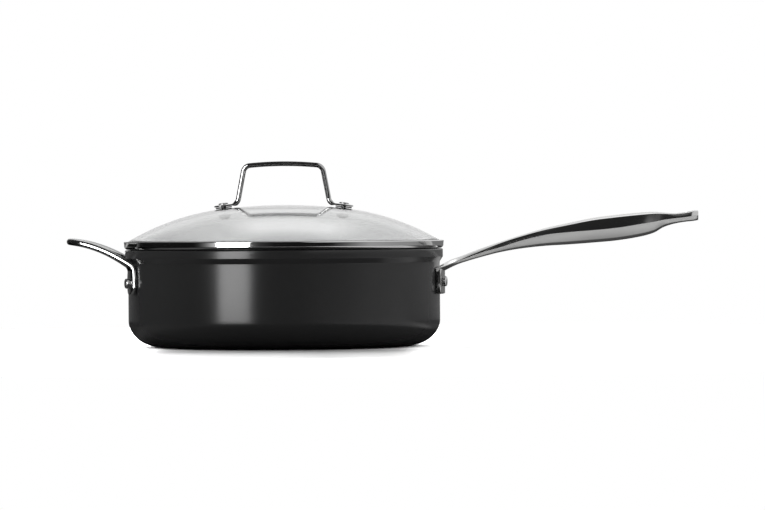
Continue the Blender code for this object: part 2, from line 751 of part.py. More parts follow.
def glass_outline():
    """Domed glass with a ground edge that lies inside the band."""
    wall, outer, rebate, ground = glass_edge()
    last = wall - GLASS_BEVEL
    steps = 9
    over = [last * step / steps for step in range(steps + 1)]
    deep = SHOULDER_RADIUS - GLASS_THICKNESS
    inner_last = SHOULDER_CENTRE + math.sqrt(deep ** 2 - (ground - shoulder_base()) ** 2)
    inner_last = min(inner_last, outer - GAP)
    under = [inner_last * step / steps for step in range(steps + 1)]
    points = [(radius, dome_level(radius, GLASS_THICKNESS)) for radius in under]
    points += [(outer, points[-1][1]), (outer, rebate), (wall, rebate)]
    points.append((wall, dome_level(wall) - GLASS_BEVEL))
    points += [(radius, dome_level(radius)) for radius in reversed(over)]
    return points


def stack_levels():
    """Heights of the lid rivet's stack above the glass surface, along the rivet's axis."""
    foot_gasket = GAP
    foot = foot_gasket + FOOT_GASKET_THICKNESS + GAP
    head = foot + FOOT_THICKNESS + GAP
    under_gasket = -GLASS_THICKNESS - GAP - UNDER_GASKET_THICKNESS
    washer = under_gasket - GAP - WASHER_THICKNESS
    tail = washer - GAP
    return foot_gasket, foot, head, under_gasket, washer, tail


def stack_place(side):
    """Place and rotation of the stack on one lid rivet, square to the glass."""
    lean = dome_lean(LID_RIVET_SPREAD)
    location = (side * LID_RIVET_SPREAD, 0.0, dome_level(LID_RIVET_SPREAD))
    return location, (0.0, side * lean, 0.0)


def make_glass():
    """The glass dome with its two rivet holes."""
    glass = turned("lid_glass", glass_outline(), LID_GLASS)
    for name, side in (("left", -1.0), ("right", 1.0)):
        location, rotation = stack_place(side)
        hole = drill(f"glass_hole_{name}", LID_RIVET_SHANK + 2.0 * GAP,
                     4.0 * GLASS_THICKNESS, location, rotation)
        boolean(glass, hole, "DIFFERENCE")
    return glass


def strip_outline(centres, thickness):
    """Closed outline of a folded sheet strip that follows its middle line."""
    left = []
    right = []
    for index, centre in enumerate(centres):
        here = Vector(centre)
        before = Vector(centres[max(index - 1, 0)])
        after = Vector(centres[min(index + 1, len(centres) - 1)])
        inward = (here - before).normalized() if index else (after - here).normalized()
        outward = (after - here).normalized() if index < len(centres) - 1 else inward
        along = (inward + outward).normalized()
        normal = Vector((-along.y, along.x))
        reach = thickness / 2.0 / max(along.dot(inward), 0.5)
        left.append(tuple(here + normal * reach))
        right.append(tuple(here - normal * reach))
    return left + right[::-1]


def skirt_radius():
    """Radius of the middle of the skirt's sheet, inside the pan's rim."""
    return RIM_INNER_RADIUS - LID_PLAY - BAND_SHEET / 2.0


def band_middle_line():
    """Middle line of the folded band, from its lip over the glass to the skirt's curl."""
    half = BAND_SHEET / 2.0
    top = BAND_TOP - half
    outer = BAND_RADIUS - half
    seat = RIM_HEIGHT + GAP + half
    skirt = skirt_radius()
    points = [(LIP_RADIUS, top)]
    points += arc((outer - BAND_ROUND, top - BAND_ROUND), (BAND_ROUND, BAND_ROUND), 90, 0, 1)
    taper_foot = outer - BAND_TAPER
    points += arc((taper_foot - BAND_TURN, seat + BAND_TURN), (BAND_TURN, BAND_TURN),
                  10, -70, 3)
    curl = BAND_TURN / 2.0
    points += arc((skirt + curl, seat - curl + half / 2.0), (curl, curl), 100, 180, 2)
    points.append((skirt, RIM_HEIGHT - SKIRT_DEPTH))
    return points


def make_band():
    """The polished steel band round the glass."""
    return turned("lid_band", strip_outline(band_middle_line(), BAND_SHEET), BAND_STEEL,
                  closed=True)


def make_seal():
    """The soft ring between the glass edge and the band."""
    wall, outer, rebate, ground = glass_edge()
    seat = RIM_HEIGHT + GAP + BAND_SHEET
    foot = seat + 2.0 * GAP
    under = outer - 2.0 * REBATE_WIDTH + GAP
    leg_inner = outer + GAP
    leg_outer = leg_inner + SEAL_THICKNESS
    shelf = ground - GAP
    points = [
        (under, foot + SEAL_CHAMFER),
        (under, shelf),
        (leg_inner, shelf),
        (leg_inner, rebate),
        (leg_outer, rebate - 2.0 * SEAL_CHAMFER),
        (leg_outer - SEAL_CHAMFER, ground - SEAL_CHAMFER),
        (leg_inner - SEAL_CHAMFER, foot + 2.0 * SEAL_CHAMFER),
    ]
    return turned("lid_band_seal", points, CLEAR_SILICONE, closed=True)


def strap_track():
    """Side view path of the middle of the lid handle's strap, from foot end to foot end."""
    _, foot, _, _, _, _ = stack_levels()
    lean = dome_lean(LID_RIVET_SPREAD)
    lift = foot + FOOT_THICKNESS / 2.0
    rivet = Vector((LID_RIVET_SPREAD + lift * math.sin(lean),
                    dome_level(LID_RIVET_SPREAD) + lift * math.cos(lean)))
    down = Vector((math.cos(lean), -math.sin(lean)))
    tip = rivet + down * FOOT_OVERHANG
    base = rivet + down * ((LEG_BASE - rivet.x) / down.x)
    middle = CROWN_LEVEL + GRIP_RISE - STRAP_THICKNESS / 2.0
    peak = middle + GRIP_CROWN_RADIUS * (1.0 / math.cos(GRIP_CROWN_ANGLE) - 1.0)
    corner = Vector((GRIP_HALF_SPAN, peak - GRIP_HALF_SPAN * math.tan(GRIP_CROWN_ANGLE)))
    right = [tuple(corner), tuple(base), tuple(tip)]
    left = [(-x, z) for x, z in reversed(right)]
    radii = (LEG_BEND_RADIUS, GRIP_CORNER_RADIUS, GRIP_CROWN_RADIUS, GRIP_CORNER_RADIUS,
             LEG_BEND_RADIUS)
    return Track(left + [(0.0, peak)] + right, radii)


def strap_half_width(track, distance):
    """Half width of the flat strap at a distance from its middle."""
    half_length = track.length / 2.0
    foot = FOOT_WIDTH / 2.0
    to_end = half_length - abs(distance)
    places = [0.0, foot, 2.2 * foot, 3.2 * foot, half_length - 0.9 * GRIP_HALF_SPAN, half_length]
    widths = [foot, foot, 0.92 * foot, LEG_WIDTH / 2.0, GRIP_WIDTH / 2.0 * 0.94,
              GRIP_WIDTH / 2.0]
    width = smooth_value(places, widths, to_end)
    if to_end < foot:
        width = math.sqrt(max(foot ** 2 - (foot - to_end) ** 2, 0.0))
    return width


def make_lid_handle():
    """The bent strap handle with a rivet hole in each foot."""
    track = strap_track()
    half_length = track.length / 2.0
    foot = FOOT_WIDTH / 2.0
    near_end = [foot * (1.0 - math.cos(math.radians(angle))) for angle in (22, 45, 68, 90)]
    edge = [-half_length + inset for inset in near_end]
    inner = [mark - half_length for mark in track.marks
             if near_end[-1] < mark < track.length - near_end[-1]]
    edge += inner
    edge += [half_length - inset for inset in reversed(near_end)]
    upper = [(place, strap_half_width(track, place)) for place in edge]
    outline = [(-half_length, 0.0)] + [(place, -width) for place, width in upper]
    outline += [(half_length, 0.0)] + upper[::-1]
    shape = blank(outline, STRAP_THICKNESS, STRAP_ROUND, inner)
    thin_to = FOOT_OVERHANG + FOOT_GASKET_RADIUS + 2.0 * GAP
    thin_from = thin_to + 0.7 * foot

    def bend(along, across, lift):
        to_end = half_length - abs(along)
        swell = ease((to_end - thin_to) / (thin_from - thin_to))
        thick = FOOT_THICKNESS + (STRAP_THICKNESS - FOOT_THICKNESS) * swell
        point, normal = track.at(along + half_length)
        shift = lift * thick / STRAP_THICKNESS
        return (point.x + normal.x * shift, across, point.y + normal.y * shift)

    handle = add_piece("lid_handle", bent_mesh("lid_handle", shape, bend), BAND_STEEL)
    for name, side in (("left", -1.0), ("right", 1.0)):
        location, rotation = stack_place(side)
        hole = drill(f"strap_hole_{name}", LID_RIVET_SHANK + GAP,
                     4.0 * GLASS_THICKNESS, location, rotation)
        boolean(handle, hole, "DIFFERENCE")
    return handle


def make_lid_stack(name, side):
    """Rivet, gaskets and washer that hold one foot of the lid handle to the glass."""
    foot_gasket, _, head, under_gasket, washer, tail = stack_levels()
    location, rotation = stack_place(side)
    bore = LID_RIVET_SHANK + GAP
    pieces = [
        (f"foot_gasket_{name}", FOOT_GASKET_RADIUS, foot_gasket, FOOT_GASKET_THICKNESS,
         BLACK_SILICONE),
        (f"under_gasket_{name}", UNDER_GASKET_RADIUS, under_gasket, UNDER_GASKET_THICKNESS,
         CLEAR_SILICONE),
        (f"under_washer_{name}", WASHER_RADIUS, washer, WASHER_THICKNESS, RIVET_STEEL),
    ]
    for piece_name, radius, level, thickness, finish in pieces:
        turned(piece_name, ring_outline(bore, radius, level, level + thickness), finish,
               closed=True, turn=SMALL_TURN, location=location, rotation=rotation)
    outline = capped_pin(LID_RIVET_HEAD, LID_RIVET_HEAD_HEIGHT, LID_RIVET_HEAD_ROUND,
                         LID_RIVET_SHANK, LID_RIVET_TAIL, LID_RIVET_TAIL_HEIGHT,
                         LID_RIVET_TAIL_ROUND, head, tail)
    turned(f"lid_rivet_{name}", outline, RIVET_STEEL, turn=SMALL_TURN, location=location,
           rotation=rotation)


def make_wall_rivets():
    """The two rivets of each pan handle."""
    long_angle = rivet_angle(LONG_RIVET_SPACING, LONG_PLATE_THICKNESS)
    helper_angle = rivet_angle(HELPER_RIVET_SPACING, HELPER_FOOT_THICKNESS)
    for name, side in (("near", -1.0), ("far", 1.0)):
        wall_rivet(f"long_handle_rivet_{name}", side * long_angle, LONG_PLATE_THICKNESS)
        wall_rivet(f"helper_handle_rivet_{name}", math.pi - side * helper_angle,
                   HELPER_FOOT_THICKNESS)


def main():
    """Build the pan, then the lid."""
    make_pan_body()
    make_base_disc()
    make_long_handle()
    make_helper_handle()
    make_wall_rivets()
    make_glass()
    make_band()
    make_seal()
    make_lid_handle()
    for name, side in (("left", -1.0), ("right", 1.0)):
        make_lid_stack(name, side)


main()
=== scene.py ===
"""Looks for a deep saute pan with a domed glass lid.

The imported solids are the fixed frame. Each is replaced by a finer piece of the same size in
the same place. Lengths are metres, the pan's axis is Z and its long handle points along +X.
Outlines of turned pieces are (radius, height) points.
"""

import logging
import math
from dataclasses import dataclass, field
from enum import Enum
from typing import Any, Callable, Mapping, Sequence, Union

import bmesh
import bpy
from mathutils import Matrix, Quaternion, Vector


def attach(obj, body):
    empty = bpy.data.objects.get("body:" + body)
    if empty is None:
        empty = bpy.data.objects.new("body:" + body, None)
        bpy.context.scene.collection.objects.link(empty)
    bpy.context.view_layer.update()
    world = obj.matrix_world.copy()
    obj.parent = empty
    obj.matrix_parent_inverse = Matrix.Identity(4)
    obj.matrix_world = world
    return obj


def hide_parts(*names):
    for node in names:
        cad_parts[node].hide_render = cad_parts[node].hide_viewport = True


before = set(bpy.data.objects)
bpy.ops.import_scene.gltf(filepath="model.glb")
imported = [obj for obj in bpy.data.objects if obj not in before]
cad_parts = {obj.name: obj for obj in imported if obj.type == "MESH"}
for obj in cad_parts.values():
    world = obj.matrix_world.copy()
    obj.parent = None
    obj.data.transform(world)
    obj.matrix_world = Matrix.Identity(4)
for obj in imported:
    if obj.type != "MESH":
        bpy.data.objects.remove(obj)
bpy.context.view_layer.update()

LOG = logging.getLogger("pan")

Point = tuple[float, float]
Colour = tuple[float, float, float]
Stops = Sequence[Point]

GAP = 0.0003
LID_PLAY = 0.0006
WELD = 0.000002
FULL_TURN = 2.0 * math.pi
HALF_TURN_DEGREES = 180.0
FULL_TURN_DEGREES = 360.0
WHITE = (1.0, 1.0, 1.0)

# Sockets of a Mix node that mixes colours: its two ends and its result
MIX_ENDS = (6, 7)
MIX_RESULT = 2


class Body(Enum):
    """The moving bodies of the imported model."""

    PAN = "pan"
    LID = "lid"


class Slot(Enum):
    """The record's material slots."""

    HARD_BLACK = "hard_black_aluminium"
    BASE_STEEL = "base_steel"
    CAST_STEEL = "cast_steel"
    RIVET_STEEL = "rivet_steel"
    BAND_STEEL = "band_steel"
    LID_GLASS = "lid_glass"
    CLEAR_SILICONE = "clear_silicone"
    BLACK_SILICONE = "black_silicone"


class Grain(Enum):
    """How a steel surface was worked."""

    POLISHED = "polished"
    LENGTHWISE = "lengthwise"
    TURNED = "turned"


# Node maths


class Value:
    """One output socket, on which arithmetic adds Math nodes."""

    def __init__(self, sheet: "NodeSheet", socket: bpy.types.NodeSocket) -> None:
        """Keep the socket and the sheet that it belongs to."""
        self.sheet = sheet
        self.socket = socket

    def maths(self, operation: str, first: "Number", second: "Number" = 0.0) -> "Value":
        """One Math node.

        Args:
            operation: The node's operation.
            first: Its first operand.
            second: Its second operand, where it has one.

        Returns:
            The node's result.
        """
        return self.sheet.add("ShaderNodeMath", {"operation": operation}, {0: first, 1: second})

    def __add__(self, other: "Number") -> "Value":
        """Sum."""
        return self.maths("ADD", self, other)

    __radd__ = __add__

    def __sub__(self, other: "Number") -> "Value":
        """Difference."""
        return self.maths("SUBTRACT", self, other)

    def __rsub__(self, other: "Number") -> "Value":
        """Difference from a number."""
        return self.maths("SUBTRACT", other, self)

    def __mul__(self, other: "Number") -> "Value":
        """Product."""
        return self.maths("MULTIPLY", self, other)

    __rmul__ = __mul__

    def __truediv__(self, other: "Number") -> "Value":
        """Quotient."""
        return self.maths("DIVIDE", self, other)

    def __rtruediv__(self, other: "Number") -> "Value":
        """Quotient of a number."""
        return self.maths("DIVIDE", other, self)

    def at_most(self, limit: "Number") -> "Value":
        """The lesser of this and a limit."""
        return self.maths("MINIMUM", self, limit)

    def at_least(self, limit: "Number") -> "Value":
        """The greater of this and a limit."""
        return self.maths("MAXIMUM", self, limit)

    def rising(self, slope: float, offset: float) -> "Value":
        """This times a slope, less an offset, kept between 0 and 1."""
        return (self * slope - offset).at_least(0.0).at_most(1.0)

    def size(self) -> "Value":
        """Its distance from 0."""
        return self.maths("ABSOLUTE", self)

    def root(self) -> "Value":
        """Its square root."""
        return self.maths("SQRT", self)

    def bearing(self, other: "Number") -> "Value":
        """The angle whose tangent is this over another, in radians."""
        return self.maths("ARCTAN2", self, other)


Number = Union[int, float, Value]


class NodeSheet:
    """The node tree of one material or of the world."""

    def __init__(self, owner: Union[bpy.types.Material, bpy.types.World]) -> None:
        """Empty the owner's node tree and keep it."""
        owner.use_nodes = True
        self.tree = owner.node_tree
        self.tree.nodes.clear()

    def add(self, kind: str, settings: Mapping[str, Any],
            sockets: Mapping[Union[str, int], Any], output: Union[str, int] = 0) -> Value:
        """One node, set up and linked.

        Args:
            kind: The node's type.
            settings: Its properties, and the stops of a ramp as (place, grey) pairs.
            sockets: Values or links for its inputs, by name or place.
            output: The output that is handed back.

        Returns:
            The chosen output.
        """
        node = self.tree.nodes.new(kind)
        for name, setting in settings.items():
            if name == "stops":
                self.set_stops(node.color_ramp, setting)
            else:
                setattr(node, name, setting)
        for name, value in sockets.items():
            if isinstance(value, Value):
                self.tree.links.new(value.socket, node.inputs[name])
            else:
                node.inputs[name].default_value = value
        return Value(self, node.outputs[output])

    @staticmethod
    def set_stops(ramp: bpy.types.ColorRamp, stops: Stops) -> None:
        """Give a ramp its stops.

        Args:
            ramp: The node's ramp.
            stops: Places from 0 to 1 with a grey each.
        """
        while len(ramp.elements) < len(stops):
            ramp.elements.new(1.0)
        for element, (place, _) in zip(ramp.elements, stops):
            element.position = place
        for element, (_, shade) in zip(ramp.elements, stops):
            element.color = (shade, shade, shade, 1.0)

    def ramp(self, factor: Value, stops: Stops, span: float = 1.0,
             start: float = 0.0) -> Value:
        """Greys along a factor.

        Args:
            factor: What runs from 0 to 1.
            stops: Places with a grey each.
            span: How far the places run.
            start: The factor at place 0.

        Returns:
            The grey.
        """
        scaled = [(start + place / span, shade) for place, shade in stops]
        return self.add("ShaderNodeValToRGB", {"stops": scaled}, {"Fac": factor})

    def place(self, turn: Sequence[float] = (0.0, 0.0, 0.0),
              stretch: Sequence[float] = (1.0, 1.0, 1.0)) -> Value:
        """Object coordinates, turned and stretched for one pattern."""
        source = self.add("ShaderNodeTexCoord", {}, {}, "Object")
        turned = self.add("ShaderNodeMapping", {"vector_type": "TEXTURE"},
                          {"Vector": source, "Rotation": turn})
        return self.add("ShaderNodeMapping", {}, {"Vector": turned, "Scale": stretch})

    def noise(self, place: Value, scale: float, detail: float = 2.0) -> Value:
        """Even noise from 0 to 1 on a place."""
        return self.add("ShaderNodeTexNoise", {},
                        {"Vector": place, "Scale": scale, "Detail": detail})

    def mix(self, factor: Value, first: Union[Value, Colour],
            second: Union[Value, Colour]) -> Value:
        """A colour between two, by a factor."""
        ends = {socket: end if isinstance(end, Value) else (*end, 1.0)
                for socket, end in zip(MIX_ENDS, (first, second))}
        return self.add("ShaderNodeMix", {"data_type": "RGBA"}, {0: factor, **ends}, MIX_RESULT)

    def choice(self, factor: Value, first: Value, second: Value) -> Value:
        """The first shader where the factor is 0 and the second where it is 1."""
        return self.add("ShaderNodeMixShader", {}, {0: factor, 1: first, 2: second})

    def axis(self, vector: Value, axis: int) -> Value:
        """One axis of a vector."""
        return self.add("ShaderNodeSeparateXYZ", {}, {0: vector}, axis)

    def background(self, colour: Union[Value, Colour], strength: float = 1.0) -> Value:
        """Light of a colour from far off."""
        shade = colour if isinstance(colour, Value) else (*colour, 1.0)
        return self.add("ShaderNodeBackground", {}, {"Color": shade, "Strength": strength})

    def is_ray(self, kind: str) -> Value:
        """1 for rays of one kind, and 0 for all others."""
        return self.add("ShaderNodeLightPath", {}, {}, f"Is {kind} Ray")

    def relief(self, height: Value, strength: float, depth: float) -> Value:
        """A bumped normal of the given depth in metres."""
        return self.add("ShaderNodeBump", {},
                        {"Strength": strength, "Distance": depth, "Height": height})

    def add_output(self, kind: str, shader: Value) -> None:
        """Close the tree with its output node."""
        node = self.tree.nodes.new(kind)
        self.tree.links.new(shader.socket, node.inputs["Surface"])


# Finishes


def grey(shade: float) -> Colour:
    """A grey as a colour."""
    return (shade, shade, shade)


@dataclass(frozen=True)
class Finish:
    """The look of one material."""

    name: str

    def sockets(self, sheet: NodeSheet) -> dict[str, Any]:
        """What feeds the Principled shader, by socket.

        Args:
            sheet: The material's node tree.

        Returns:
            Values and links.
        """
        raise NotImplementedError

    def material(self) -> bpy.types.Material:
        """The finish as a material."""
        made = bpy.data.materials.new(self.name)
        sheet = NodeSheet(made)
        shader = sheet.add("ShaderNodeBsdfPrincipled", {}, self.sockets(sheet))
        sheet.add_output("ShaderNodeOutputMaterial", shader)
        return made


@dataclass(frozen=True)
class HardAnodised(Finish):
    """Satin black skin of the pan with a fine mineral grain."""

    name: str = "hard_anodised_black"
    dark: Colour = (0.0420, 0.0420, 0.0428)
    light: Colour = (0.0540, 0.0540, 0.0550)
    roughness: float = 0.16
    spread: float = 0.08
    shine: float = 0.32

    def sockets(self, sheet: NodeSheet) -> dict[str, Any]:
        """Grain and flecks on black."""
        place = sheet.place()
        grain = sheet.noise(place, 950.0, 3.0)
        flecks = sheet.noise(place, 2300.0, 1.0)
        cloud = sheet.noise(place, 9.0, 2.0)
        shade = grain * 0.6 + cloud * 0.4
        return {
            "Base Color": sheet.mix(shade, self.dark, self.light),
            "Roughness": flecks * self.spread + (self.roughness - 0.04) + cloud * 0.06,
            "Specular IOR Level": self.shine,
            "Normal": sheet.relief(grain * 0.6 + flecks * 0.4, 0.35, 0.00006),
        }


@dataclass(frozen=True)
class NonStick(Finish):
    """Dark coating inside the pan with a scatter of pale mineral flecks."""

    name: str = "non_stick_inside"
    dark: Colour = (0.016, 0.016, 0.017)
    light: Colour = (0.030, 0.030, 0.031)
    fleck: Colour = (0.120, 0.118, 0.112)
    roughness: float = 0.34

    def sockets(self, sheet: NodeSheet) -> dict[str, Any]:
        """Cloud, grit and flecks."""
        place = sheet.place()
        cloud = sheet.noise(place, 14.0, 3.0)
        grit = sheet.noise(place, 700.0, 2.0)
        flecks = sheet.ramp(sheet.noise(place, 520.0, 0.0), [(0.66, 0.0), (0.70, 1.0)])
        ground = sheet.mix(cloud * 0.5 + grit * 0.5, self.dark, self.light)
        return {
            "Base Color": sheet.mix(flecks, ground, self.fleck),
            "Roughness": grit * 0.10 + (self.roughness - 0.05),
            "Normal": sheet.relief(grit, 0.30, 0.00005),
        }


@dataclass(frozen=True)
class Steel(Finish):
    """Stainless steel with the marks of the way it was worked."""

    name: str
    grain: Grain = Grain.POLISHED
    dark: Colour = (0.56, 0.56, 0.555)
    light: Colour = (0.64, 0.64, 0.635)
    roughness: float = 0.10
    spread: float = 0.06
    depth: float = 0.000006
    lines: float = 2600.0
    turn: tuple[float, float, float] = (0.0, 0.0, 0.0)

    def marks(self, sheet: NodeSheet) -> Value:
        """Height of the working marks, from 0 to 1.

        Args:
            sheet: The sheet that the marks are drawn on.

        Returns:
            The marks.
        """
        if self.grain is Grain.TURNED:
            place = sheet.place(turn=self.turn)
            flat = sheet.add("ShaderNodeVectorMath", {"operation": "MULTIPLY"},
                             {0: place, 1: (1.0, 1.0, 0.0)})
            radius = sheet.add("ShaderNodeVectorMath", {"operation": "LENGTH"}, {0: flat},
                               "Value")
            return sheet.add("ShaderNodeTexNoise", {"noise_dimensions": "1D"},
                             {"W": radius * self.lines, "Scale": 1.0, "Detail": 3.0})
        stretch = (0.02, 1.0, 1.0) if self.grain is Grain.LENGTHWISE else (0.25, 1.0, 0.6)
        return sheet.noise(sheet.place(turn=self.turn, stretch=stretch), self.lines, 3.0)

    def sockets(self, sheet: NodeSheet) -> dict[str, Any]:
        """Working marks and a faint smudge."""
        marks = self.marks(sheet)
        smudge = sheet.noise(sheet.place(), 45.0, 3.0)
        return {
            "Base Color": sheet.mix(marks * 0.5 + smudge * 0.5, self.dark, self.light),
            "Metallic": 1.0,
            "Roughness": (marks + smudge) * (self.spread / 2.0) + self.roughness,
            "Normal": sheet.relief(marks, 0.5, self.depth),
        }


@dataclass(frozen=True)
class TemperedGlass(Finish):
    """Clear glass of the lid with the faintest wiping marks."""

    name: str = "tempered_glass"
    colour: Colour = (0.785, 0.790, 0.790)
    index: float = 1.50

    def sockets(self, sheet: NodeSheet) -> dict[str, Any]:
        """Clear glass, a little less smooth where it was wiped."""
        smears = sheet.noise(sheet.place(stretch=(1.0, 0.3, 1.0)), 60.0, 4.0)
        return {
            "Base Color": (*self.colour, 1.0),
            "Roughness": smears * 0.008,
            "IOR": self.index,
            "Transmission Weight": 1.0,
        }


@dataclass(frozen=True)
class Silicone(Finish):
    """Soft silicone, milky or black."""

    name: str
    dark: Colour
    light: Colour
    clearness: float
    roughness: float = 0.42
    shine: float = 0.50

    def sockets(self, sheet: NodeSheet) -> dict[str, Any]:
        """A fine bloom on soft rubber."""
        bloom = sheet.noise(sheet.place(), 320.0, 3.0)
        return {
            "Base Color": sheet.mix(bloom, self.dark, self.light),
            "Roughness": bloom * 0.12 + (self.roughness - 0.06),
            "IOR": 1.41,
            "Specular IOR Level": self.shine,
            "Transmission Weight": self.clearness,
            "Normal": sheet.relief(bloom, 0.20, 0.00003),
        }


# Outlines


def arc(centre: Point, radii: Point, start: float, end: float, steps: int) -> list[Point]:
    """Points of an elliptical arc.

    Args:
        centre: The ellipse's centre.
        radii: Its two half axes.
        start: First angle in degrees.
        end: Last angle in degrees.
        steps: Number of steps between them.

    Returns:
        The points, both ends included.
    """
    points = []
    for step in range(steps + 1):
        angle = math.radians(start + (end - start) * step / steps)
        points.append((centre[0] + radii[0] * math.cos(angle),
                       centre[1] + radii[1] * math.sin(angle)))
    return points


def rounded(corners: Sequence[tuple[float, float, float]], closed: bool = False,
            steps: int = 5, most: float = 0.49) -> list[Point]:
    """A line of straight runs whose corners are rounded.

    Args:
        corners: Each corner as across, up and rounding radius, which may be 0.
        closed: Whether the last corner joins the first.
        steps: Steps in each rounded corner.
        most: Largest share of a run that one rounding may take.

    Returns:
        The points of the line.
    """
    points: list[Point] = []
    count = len(corners)
    for index, (across, up, radius) in enumerate(corners):
        inner = closed or 0 < index < count - 1
        if radius <= 0.0 or not inner:
            points.append((across, up))
            continue
        here = Vector((across, up))
        back = Vector(corners[index - 1][:2]) - here
        ahead = Vector(corners[(index + 1) % count][:2]) - here
        half = back.angle(ahead) / 2.0
        reach = min(radius / math.tan(half), most * back.length, most * ahead.length)
        centre = here + (back.normalized() + ahead.normalized()).normalized() * (
            reach / math.cos(half))
        first = here + back.normalized() * reach - centre
        last = here + ahead.normalized() * reach - centre
        sweep = first.angle_signed(last)
        for step in range(steps + 1):
            turned = Matrix.Rotation(-sweep * step / steps, 2) @ first
            points.append(tuple(centre + turned))
    return points


def refined(points: Sequence[Point], longest: float) -> list[Point]:
    """The same line with no run longer than a limit.

    Args:
        points: The line.
        longest: The longest run that stays whole.

    Returns:
        The line with more points.
    """
    made = [points[0]]
    for before, after in zip(points, points[1:]):
        run = math.dist(before, after)
        parts = max(1, math.ceil(run / longest))
        for part in range(1, parts + 1):
            share = part / parts
            made.append((before[0] + (after[0] - before[0]) * share,
                         before[1] + (after[1] - before[1]) * share))
    return made


def smooth_value(places: Sequence[float], values: Sequence[float], place: float) -> float:
    """Value at one place on a smooth curve through given places and values."""
    index = 0
    while index < len(places) - 2 and place > places[index + 1]:
        index += 1
    span = places[index + 1] - places[index]

    def slope(at: int) -> float:
        """Slope of the curve at one of its points."""
        before = max(at - 1, 0)
        after = min(at + 1, len(places) - 1)
        return (values[after] - values[before]) / (places[after] - places[before])

    share = (place - places[index]) / span
    rest = 1.0 - share
    return (values[index] * rest * rest * (1.0 + 2.0 * share)
            + values[index + 1] * share * share * (1.0 + 2.0 * rest)
            + span * slope(index) * share * rest * rest
            - span * slope(index + 1) * share * share * rest)


def ease(share: float) -> float:
    """Smooth step from 0 to 1, held outside."""
    share = min(max(share, 0.0), 1.0)
    return share * share * (3.0 - 2.0 * share)


class Track:
    """A side view path of straight runs and arcs, read by distance along it."""

    def __init__(self, corners: Sequence[Point], radii: Sequence[float], steps: int) -> None:
        """Round the inner corners with the given radii."""
        inner = [(*corner, radius) for corner, radius in zip(corners[1:-1], radii)]
        line = rounded([(*corners[0], 0.0), *inner, (*corners[-1], 0.0)], steps=steps,
                       most=1.0)
        self.points = [Vector(point) for point in line]
        self.marks = [0.0]
        for before, after in zip(self.points, self.points[1:]):
            self.marks.append(self.marks[-1] + (after - before).length)
        self.length = self.marks[-1]

    def at(self, distance: float) -> tuple[Vector, Vector]:
        """Point and left-hand normal at a distance along the path."""
        distance = min(max(distance, 0.0), self.length)
        index = 0
        while index < len(self.marks) - 2 and distance > self.marks[index + 1]:
            index += 1
        share = (distance - self.marks[index]) / (self.marks[index + 1] - self.marks[index])
        point = self.points[index].lerp(self.points[index + 1], share)
        normal = self.normal(index).lerp(self.normal(index + 1), share).normalized()
        return point, normal

    def normal(self, index: int) -> Vector:
        """Left-hand normal at one of the path's own points."""
        before = self.points[max(index - 1, 0)]
        after = self.points[min(index + 1, len(self.points) - 1)]
        along = (after - before).normalized()
        return Vector((-along.y, along.x))


# Shapes


def spun(outline: Sequence[Point], closed: bool, steps: int,
         place: Matrix = Matrix.Identity(4)) -> bmesh.types.BMesh:
    """A turned solid.

    Args:
        outline: Points as radius and height.
        closed: Whether the outline is a ring of its own, off the axis.
        steps: Faces in a full turn.
        place: Where the finished solid goes.

    Returns:
        The solid.
    """
    shape = bmesh.new()
    verts = [shape.verts.new((radius, 0.0, height)) for radius, height in outline]
    edges = [shape.edges.new(pair) for pair in zip(verts, verts[1:])]
    if closed:
        edges.append(shape.edges.new((verts[-1], verts[0])))
    bmesh.ops.spin(shape, geom=verts + edges, cent=(0.0, 0.0, 0.0), axis=(0.0, 0.0, 1.0),
                   angle=FULL_TURN, steps=steps, use_merge=True, use_duplicate=False)
    bmesh.ops.remove_doubles(shape, verts=shape.verts[:], dist=WELD)
    bmesh.ops.recalc_face_normals(shape, faces=shape.faces[:])
    bmesh.ops.transform(shape, matrix=place, verts=shape.verts[:])
    return shape


def bridged(rings: Sequence[Sequence[Vector]]) -> bmesh.types.BMesh:
    """A closed solid through equal rings of points.

    Args:
        rings: The rings in order.

    Returns:
        The solid, with both ends filled.
    """
    shape = bmesh.new()
    loops = []
    for ring in rings:
        verts = [shape.verts.new(point) for point in ring]
        loops.append([shape.edges.new((verts[step - 1], verts[step]))
                      for step in range(len(verts))])
    for before, after in zip(loops, loops[1:]):
        bmesh.ops.bridge_loops(shape, edges=before + after)
    for end in (loops[0], loops[-1]):
        bmesh.ops.holes_fill(shape, edges=end, sides=0)
    bmesh.ops.recalc_face_normals(shape, faces=shape.faces[:])
    return shape


def raised(outline: Sequence[Point], level: float, height: float) -> bmesh.types.BMesh:
    """A straight-sided plate.

    Args:
        outline: Its outline.
        level: Height of its underside.
        height: Its thickness.

    Returns:
        The plate.
    """
    shape = bmesh.new()
    lower = shape.faces.new([shape.verts.new((*point, level)) for point in outline])
    upper = bmesh.ops.extrude_face_region(shape, geom=[lower])["geom"]
    lifted = [item for item in upper if isinstance(item, bmesh.types.BMVert)]
    bmesh.ops.translate(shape, verts=lifted, vec=(0.0, 0.0, height))
    bmesh.ops.recalc_face_normals(shape, faces=shape.faces[:])
    return shape


